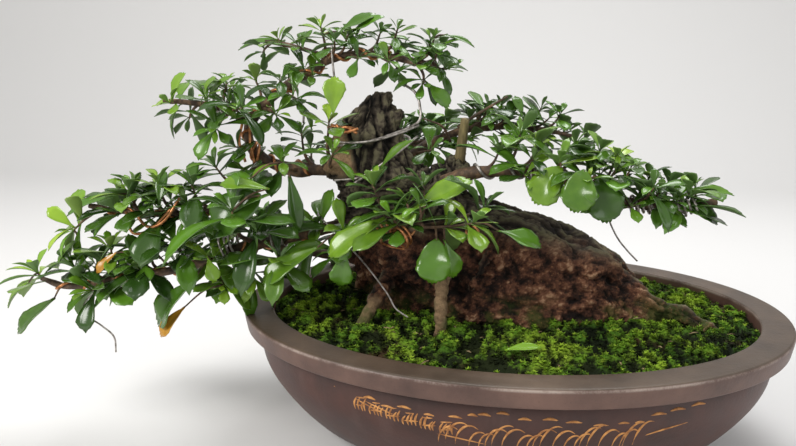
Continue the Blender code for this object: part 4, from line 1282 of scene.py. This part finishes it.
# %% Shoots
# Branch, then its shoots: place, number of leaves, their length in millimetres, and youth
SHOOTS = [
    ("left_low", [
        (-344, -62, 122, 7, 26, 0.8), (-310, -66, 128, 5, 24, 0.2), (-296, -70, 112, 7, 26, 0.3),
        (-286, -58, 142, 7, 22, 0.9), (-258, -70, 134, 6, 26, 0.1),
        (-230, -68, 148, 7, 28, 0.1), (-264, -40, 138, 6, 26, 0.3),
        (-198, -66, 120, 5, 20, 0.7), (-208, -62, 136, 6, 24, 0.5),
        (-192, -56, 130, 6, 28, 0.3), (-184, -78, 176, 7, 30, 0.1),
        (-182, -50, 122, 5, 30, 0.3), (-290, -40, 118, 6, 26, 0.3),
        (-158, -62, 138, 5, 30, 0.4), (-172, -66, 160, 6, 28, 0.1),
        (-114, -46, 156, 5, 24, 0.4), (-138, -30, 156, 6, 26, 0.3)]),
    ("left_middle", [
        (-312, -60, 154, 7, 24, 0.9), (-278, -58, 168, 6, 26, 0.3), (-272, -50, 182, 7, 24, 0.5),
        (-246, -56, 190, 7, 22, 0.7), (-244, -64, 174, 6, 26, 0.3),
        (-224, -50, 188, 6, 24, 0.2), (-210, -40, 200, 6, 24, 0.2),
        (-238, -40, 164, 5, 24, 0.4)]),
    ("leader", [
        (-192, -30, 194, 6, 24, 0.3), (-202, -20, 212, 6, 24, 0.2), (-192, 10, 198, 6, 24, 0.3)]),
    ("left_high", [
        (-246, -30, 244, 6, 22, 0.8), (-214, -40, 248, 5, 26, 0.4), (-206, -20, 258, 6, 22, 0.4),
        (-208, -40, 226, 6, 24, 0.3), (-238, -16, 232, 5, 24, 0.4),
        (-186, -44, 242, 5, 26, 0.1)]),
    ("leader", [
        (-192, 0, 262, 7, 24, 0.8), (-168, 10, 262, 5, 22, 0.3), (-152, -20, 246, 7, 24, 0.1),
        (-166, -30, 236, 7, 24, 0.3), (-128, -30, 232, 5, 26, 0.7),
        (-154, -10, 222, 6, 24, 0.3), (-160, -40, 204, 5, 28, 0.4),
        (-122, -44, 212, 6, 22, 0.5), (-154, 16, 206, 6, 24, 0.2)]),
    ("apex_twig", [
        (-174, 4, 290, 7, 22, 0.6), (-188, 10, 280, 4, 22, 0.2), (-154, -10, 284, 5, 22, 0.3)]),
    ("leader", [
        (-140, 0, 298, 7, 24, 0.7), (-126, -16, 288, 6, 22, 0.2), (-116, 10, 290, 6, 22, 0.2),
        (-96, 0, 294, 6, 22, 0.3), (-82, -10, 296, 5, 20, 0.4), (-82, 20, 284, 6, 22, 0.2),
        (-108, -20, 276, 5, 19, 0.2), (-86, -26, 274, 6, 18, 0.4), (-60, 0, 288, 5, 22, 0.4),
        (-54, -10, 280, 6, 22, 0.2), (-48, 0, 268, 8, 24, 0.3), (-64, -10, 258, 5, 22, 0.3),
        (-68, -20, 272, 6, 22, 0.3), (-86, 24, 266, 6, 22, 0.2)]),
    ("right_back", [
        (-58, 0, 210, 5, 22, 0.2), (-26, 40, 236, 7, 22, 0.1), (-10, 46, 240, 6, 22, 0.1),
        (-6, 40, 224, 7, 24, 0.2), (-32, 30, 214, 5, 22, 0.3), (22, 40, 216, 7, 24, 0.4),
        (44, 50, 220, 6, 24, 0.3), (60, 56, 208, 6, 26, 0.2)]),
    ("right_low", [
        (6, -10, 224, 7, 28, 0.4), (-8, -20, 214, 6, 26, 0.4), (18, -10, 216, 6, 26, 0.6),
        (44, -10, 216, 6, 26, 0.3), (60, -20, 214, 6, 26, 0.4), (70, -30, 210, 8, 22, 1.0),
        (32, -44, 208, 5, 28, 0.5), (10, -40, 198, 5, 24, 0.4), (78, -40, 204, 6, 24, 0.2),
        (92, -30, 198, 6, 24, 0.2), (106, -24, 192, 6, 26, 0.2), (118, -32, 188, 6, 28, 0.3),
        (118, -36, 180, 5, 26, 0.1), (52, -40, 204, 5, 28, 0.2)]),
    ("front", [
        (-76, -74, 174, 5, 30, 0.5), (-68, -60, 182, 6, 26, 0.5), (-92, -56, 192, 6, 24, 0.4),
        (-22, -74, 172, 5, 24, 0.8), (-16, -50, 178, 5, 28, 0.0), (-40, -70, 168, 4, 26, 0.6),
        (-58, -50, 192, 5, 26, 0.3)]),
    ("left_back", [
        (-236, 62, 138, 8, 28, 0.4), (-210, 54, 140, 7, 27, 0.2), (-192, 62, 134, 7, 27, 0.2),
        (-172, 70, 128, 6, 27, 0.3), (-170, 36, 136, 6, 26, 0.2), (-216, 72, 122, 6, 26, 0.3)]),
    ("rear", [
        (-56, 108, 216, 8, 28, 0.4), (-74, 100, 218, 7, 27, 0.2), (-96, 92, 214, 7, 27, 0.3),
        (-78, 78, 216, 7, 26, 0.2), (-108, 70, 206, 6, 26, 0.3), (-60, 88, 200, 6, 26, 0.2)]),
]
# Single leaves that stand out: foot, tip, shape, youth
LONE_LEAVES = [
    (-350, -62, 114, -378, -60, 96, "big_narrow", 0.6),
    (-324, -72, 106, -356, -80, 84, "big_flat", 0.4),
    (-308, -60, 148, -332, -62, 130, "big_narrow", 0.4),
    (-278, -56, 180, -320, -60, 172, "big_narrow", 0.1),
    (-278, -58, 170, -306, -66, 168, "big_narrow", 0.1),
    (-212, -80, 128, -246, -86, 100, "big_spoon", 0.1),
    (-220, -82, 108, -238, -90, 90, "big_flat", -1.0),
    (-274, -70, 142, -288, -78, 130, "big_flat", -1.0),
    (-206, -72, 142, -198, -80, 128, "big_spoon", 0.9),
    (-246, -30, 244, -236, -36, 266, "big_spoon", 0.7),
    (-220, -36, 244, -210, -44, 264, "big_spoon", 0.6),
    (-124, -34, 236, -121, -40, 262, "big_spoon", 0.55),
    (-128, 0, 294, -102, 2, 310, "big_flat", 0.2),
    (-120, 0, 292, -96, -4, 308, "big_flat", 0.1),
    (-170, 4, 288, -208, 10, 290, "big_narrow", 0.2),
    (-50, 0, 292, -28, 0, 288, "big_narrow", 0.2),
    (-48, 0, 268, -58, 0, 288, "big_spoon", 0.3),
    (-62, -10, 260, -44, -20, 246, "big_spoon", 0.2),
    (33, -46, 206, 16, -56, 184, "big_round", 0.45),
    (47, -56, 206, 41, -68, 181, "big_round", 0.3),
    (58, -48, 201, 63, -60, 173, "big_round", 0.0),
    (118, -30, 190, 148, -28, 192, "big_narrow", 0.3),
    (112, -34, 184, 136, -44, 175, "big_spoon", 0.0),
    (98, -34, 181, 116, -46, 171, "big_flat", 0.1),
    (-64, -70, 178, -28, -64, 202, "big_flat", 0.5),
    (-80, -74, 174, -118, -86, 154, "big_flat", 0.5),
    (-128, -66, 150, -166, -80, 132, "big_flat", 0.4),
    (-46, -78, 162, -48, -88, 135, "big_round", 0.15),
    (-42, -70, 160, -32, -74, 136, "big_spoon", 0.2),
    (-8, -66, 166, 21, -70, 162, "big_spoon", 0.0),
    (-108, -70, 152, -112, -76, 126, "big_spoon", 0.0),
    (-152, -50, 196, -142, -60, 160, "big_narrow", 0.0),
    (-176, -60, 196, -186, -74, 172, "big_round", 0.1),
    (-166, -70, 186, -200, -80, 168, "big_round", 0.1),
    (-160, -70, 190, -190, -78, 198, "big_flat", 0.5),
    (-88, -52, 202, -70, -60, 226, "big_narrow", 0.4),
    (0, -96, 95, 21, -98, 102, "big_narrow", 1.0),
]
LITTER_LEVEL = RIM + 0.008  # a leaf that starts below this lies on the moss


# %% Twigs and rosettes
def twig_to(branch, place):
    """A twig from the nearest bit of a branch to a place."""
    route, radii = branch_routes[branch]
    index = min(range(len(route)), key=lambda i: (route[i] - place).length)
    index = max(4, index - 3)
    start = route[index]
    reach = (place - start).length
    ahead = (route[min(index + 1, len(route) - 1)] - route[index - 1]).normalized()
    bend = start.lerp(place, 0.45) + ahead * reach * 0.12 - UP * reach * 0.06
    path = smooth_route([start, bend, place], 5)
    thick = min(radii[index] * 0.7, 0.0007 + reach * 0.035)
    return path, taper(thick, 0.0006, len(path))


def add_leaf(bm, shape, foot_spot, pointing, face, length, youth):
    """Add one leaf to a piece, with its age and its own shade."""
    across = pointing.cross(face).normalized()
    upward = across.cross(pointing).normalized()
    turn = Matrix((across, pointing, upward)).transposed().to_4x4()
    size = Matrix.Diagonal((length, length, length, 1))
    bm.from_mesh(LEAF_SHAPES[shape])
    bm.verts.ensure_lookup_table()
    new = bm.verts[-LEAF_POINTS[shape]:]
    bmesh.ops.transform(bm, verts=new, matrix=Matrix.Translation(foot_spot) @ turn @ size)
    age = bm.verts.layers.float["youth"]
    shade = bm.verts.layers.float["shade"]
    own = chance.random()
    for vertex in new:
        vertex[age] = youth
        vertex[shade] = own


LEAF_SCALE = {"left_low": 1.12, "left_middle": 1.08, "leader": 0.78, "apex_twig": 0.8,
              "left_high": 0.86, "right_back": 0.8, "right_low": 0.9}
# Small extra shoots along a branch: how many, their leaf length and youth
EXTRA_SHOOTS = {"left_low": (14, 0.022, 0.2), "left_middle": (9, 0.021, 0.3),
                "leader": (8, 0.018, 0.3), "left_high": (3, 0.018, 0.4),
                "right_back": (12, 0.019, 0.2), "right_low": (12, 0.02, 0.3),
                "front": (3, 0.018, 0.3), "left_back": (6, 0.022, 0.2),
                "rear": (7, 0.022, 0.2)}
GOLDEN_ANGLE = math.radians(137.5)


def add_rosette(bm, path, count, length, youth):
    """Leaves round the end of a twig by the golden angle, small and young at the heart."""
    end = path[-1]
    heading = ((path[-1] - path[-3]).normalized() + UP * 0.7).normalized()
    side = heading.orthogonal().normalized()
    start = chance.uniform(0, math.tau)
    total = count + 3
    for number in range(total):
        part = number / (total - 1)
        angle = start + number * GOLDEN_ANGLE + chance.uniform(-0.2, 0.2)
        tilt = math.radians(14 + 68 * part ** 0.8 + chance.uniform(-9, 9))
        spread = Matrix.Rotation(angle, 3, heading) @ side
        pointing = (heading * math.cos(tilt) + spread * math.sin(tilt)).normalized()
        face = (UP * 1.2 + heading * 0.4 - spread * 0.35
                + Vector([chance.uniform(-0.3, 0.3) for _ in range(3)]))
        size = length * (0.45 + 0.85 * part) * chance.uniform(0.85, 1.2)
        fresh = youth + 0.5 * (1 - part) * youth - 0.25 * part + chance.uniform(-0.15, 0.15)
        shape = chance.choice(("flat", "spoon", "spoon", "curled", "narrow"))
        foot_spot = end - (path[-1] - path[-2]).normalized() * 0.0011 * number * part
        add_leaf(bm, shape, foot_spot, pointing, face, size, max(0.0, min(1.0, fresh)))


# %% Foliage
def make_foliage():
    """One piece of leaves for each branch, and the twigs that carry them."""
    twigs = []
    pieces = {}
    wood = [point for route, _ in branch_routes.values() for point in route]

    def grow(branch, place, count, length, youth):
        """One twig and its rosette."""
        path, radii = twig_to(branch, place)
        wood.extend(path)
        twigs.append(tube(path, radii, 7))
        add_rosette(pieces[branch], path, count, length, youth)

    for name in BRANCHES:
        pieces[name] = bmesh.new()
        for layer in ("youth", "shade", "under"):
            pieces[name].verts.layers.float.new(layer)
    for branch, shoots in SHOOTS:
        for *place, count, length, youth in shoots:
            grow(branch, placed([place])[0], count, length / MM * LEAF_SCALE.get(branch, 1.0),
                 youth)
    for branch, (count, length, youth) in EXTRA_SHOOTS.items():
        route = branch_routes[branch][0]
        for _ in range(count):
            knot = route[int(len(route) * chance.uniform(0.35, 0.98))]
            reach = Vector((chance.uniform(-0.012, 0.012), chance.uniform(-0.02, 0.02),
                            chance.uniform(-0.002, 0.018)))
            grow(branch, knot + reach, 3, length, youth)
    for *ends, shape, youth in LONE_LEAVES:
        start, end = placed([ends[:3], ends[3:]])
        branch = min(BRANCHES, key=lambda name: min((point - start).length
                                                    for point in branch_routes[name][0]))
        pointing = (end - start).normalized()
        carrier = min(wood, key=lambda point: (point - start).length)
        gap = (start - carrier).length
        if start.z > LITTER_LEVEL and gap > 0.001:
            bend = carrier.lerp(start, 0.5) + UP * gap * 0.12
            stalk = smooth_route([carrier, bend, start + pointing * 0.001], 5)
            twigs.append(tube(stalk, taper(0.0009, 0.0006, len(stalk)), 6))
        face = Vector((0, -0.8, 0.6)) if shape == "big_round" else Vector((0.15, -0.45, 0.9))
        add_leaf(pieces[branch], shape, start, pointing, face, (end - start).length, youth)
    print(len(twigs), "twigs and stalks")
    return twigs, pieces


def sprays_of(branch):
    """The frame's sprays that the leaves of a branch stand for."""
    names = [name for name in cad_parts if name.startswith(f"spray_{branch}")]
    if branch == "leader":
        names += ["spray_apex_top", "spray_apex_front", "spray_apex_right"]
    return names


# %% [markdown]
# A leaf's upper side is waxy and dark, the underside pale and dull, and a young leaf is almost
# yellow. Youth and side are stored on the mesh, and the veins come from the leaf's own UV map,
# so they follow it however it is turned.

# %% Leaf finish
def leaf_finish():
    leaf = Finish("waxy_leaf", roughness=0.3)
    youth = leaf.attribute("youth")
    shade = leaf.attribute("shade")
    under = leaf.attribute("under")
    uv = leaf.add("TexCoord", output="UV")
    across = leaf.add("SeparateXYZ", {}, {"Vector": uv}, output="X")
    length = leaf.add("SeparateXYZ", {}, {"Vector": uv}, output="Y")
    side = leaf.add("Math", {"operation": "ABSOLUTE"}, {0: across - 0.5}) * 2
    vein = leaf.add("Math", {"operation": "SINE"}, {0: length * 70 - side * 10})
    patch = leaf.noise(180, 3)
    mature = leaf.mix(shade, (0.019, 0.054, 0.006), (0.092, 0.22, 0.016))
    bright = leaf.mix(shade, (0.12, 0.28, 0.014), (0.32, 0.48, 0.035))
    colour = leaf.mix(leaf.step(youth + (patch - 0.5) * 0.3, 0.15, 0.95), mature, bright)
    yellowed = leaf.mix(patch, (0.3, 0.11, 0.01), (0.55, 0.3, 0.03))
    colour = leaf.mix(leaf.step(0 - youth, 0.3, 0.6), colour, yellowed)
    rib = 1 - leaf.step(side, 0.02, 0.1)
    colour = leaf.mix(rib * 0.5, colour, (0.15, 0.27, 0.05))
    colour = leaf.mix(leaf.step(vein, 0.7, 1.0) * 0.24, colour, (0.12, 0.24, 0.04))
    dull = leaf.mix(0.55, colour, (0.13, 0.21, 0.08))
    colour = leaf.mix(under, colour, dull)
    relief = vein * 0.25 + rib * -0.8 + patch * 0.5
    return leaf.wear(Base_Color=colour, Roughness=0.16 + under * 0.35 + patch * 0.14,
                     Normal=leaf.bump(relief, 0.5, 0.0006), Specular_IOR_Level=0.55)


def twig_finish():
    twig = Finish("young_bark", roughness=0.75)
    cloud = twig.noise(130, 5)
    ring = twig.noise(380, 4, stretch=(1, 1, 0.6))
    colour = twig.ramp(cloud * 0.6 + ring * 0.4, (0.32, (0.02, 0.012, 0.008)),
                       (0.5, (0.085, 0.05, 0.028)), (0.66, (0.26, 0.15, 0.075)))
    return twig.wear(Base_Color=colour, Roughness=0.8 - 0.2 * cloud,
                     Normal=twig.bump(ring, 0.7, 0.0008))


def peg_finish():
    peg = Finish("cut_wood", roughness=0.8)
    fibre = peg.noise(260, 5, stretch=(1, 1, 0.25))
    colour = peg.ramp(fibre, (0.32, (0.05, 0.04, 0.016)), (0.66, (0.27, 0.21, 0.09)))
    return peg.wear(Base_Color=colour, Normal=peg.bump(fibre, 0.6, 0.0008))


# %% Wood and leaves together
def stub(points, start, end, sides):
    """A short straight-grained stump."""
    route = smooth_route(placed(points), 6)
    return tube(route, taper(start, end, len(route)), sides)


leaf = leaf_finish()
twigs, foliage = make_foliage()
wood = [tube(route, radii, 14) for route, radii in branch_routes.values()]
wood += [stub(*shape, 10) for shape in STUBS]
finished("cut_peg", stub(*PEG, 14), peg_finish())
finished("branches_and_twigs", gather(wood + twigs), twig_finish(),
         [f"branch_{name}" for name in BRANCHES])
for name, bm in foliage.items():
    finished(f"leaves_{name}", bm, leaf, sprays_of(name))


# %% [markdown]
# ## What the moss hides
#
# Soil, drainage gravel, the screens over the drain holes and their clips are the frame's own
# solids. They only need a surface, for whoever turns the pot over or lifts the moss.

# %% Hidden layers
def grains_finish(name, dark, light, scale):
    grains = Finish(name, roughness=0.95)
    cells = grains.add("TexVoronoi", {}, {"Vector": grains.place(), "Scale": scale})
    tone = grains.noise(scale * 0.6, 4)
    return grains.wear(Base_Color=grains.ramp(tone, (0.35, dark), (0.65, light)),
                       Normal=grains.bump(cells, 0.9, 0.002))


def plain_finish(name, dark, light, roughness, metallic):
    plain = Finish(name, roughness=roughness, metallic=metallic)
    tone = plain.noise(300, 3)
    return plain.wear(Base_Color=plain.ramp(tone, (0.4, dark), (0.6, light)))


HIDDEN = {
    "soil": grains_finish("granular_soil", (0.018, 0.011, 0.007), (0.075, 0.048, 0.03), 420),
    "gravel_layer": grains_finish("pumice_gravel", (0.2, 0.16, 0.12), (0.42, 0.37, 0.3), 220),
    "drain_screen_left": plain_finish("screen_mesh", (0.01, 0.012, 0.012),
                                      (0.025, 0.028, 0.028), 0.55, 0.0),
    "screen_clip_left": plain_finish("clip_aluminium", (0.42, 0.4, 0.38), (0.62, 0.6, 0.58),
                                     0.35, 1.0),
}
HIDDEN["drain_screen_right"] = HIDDEN["drain_screen_left"]
HIDDEN["screen_clip_right"] = HIDDEN["screen_clip_left"]
print("surfaces for", list(HIDDEN))
for name, material in HIDDEN.items():
    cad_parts[name].data.materials.clear()
    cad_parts[name].data.materials.append(material)
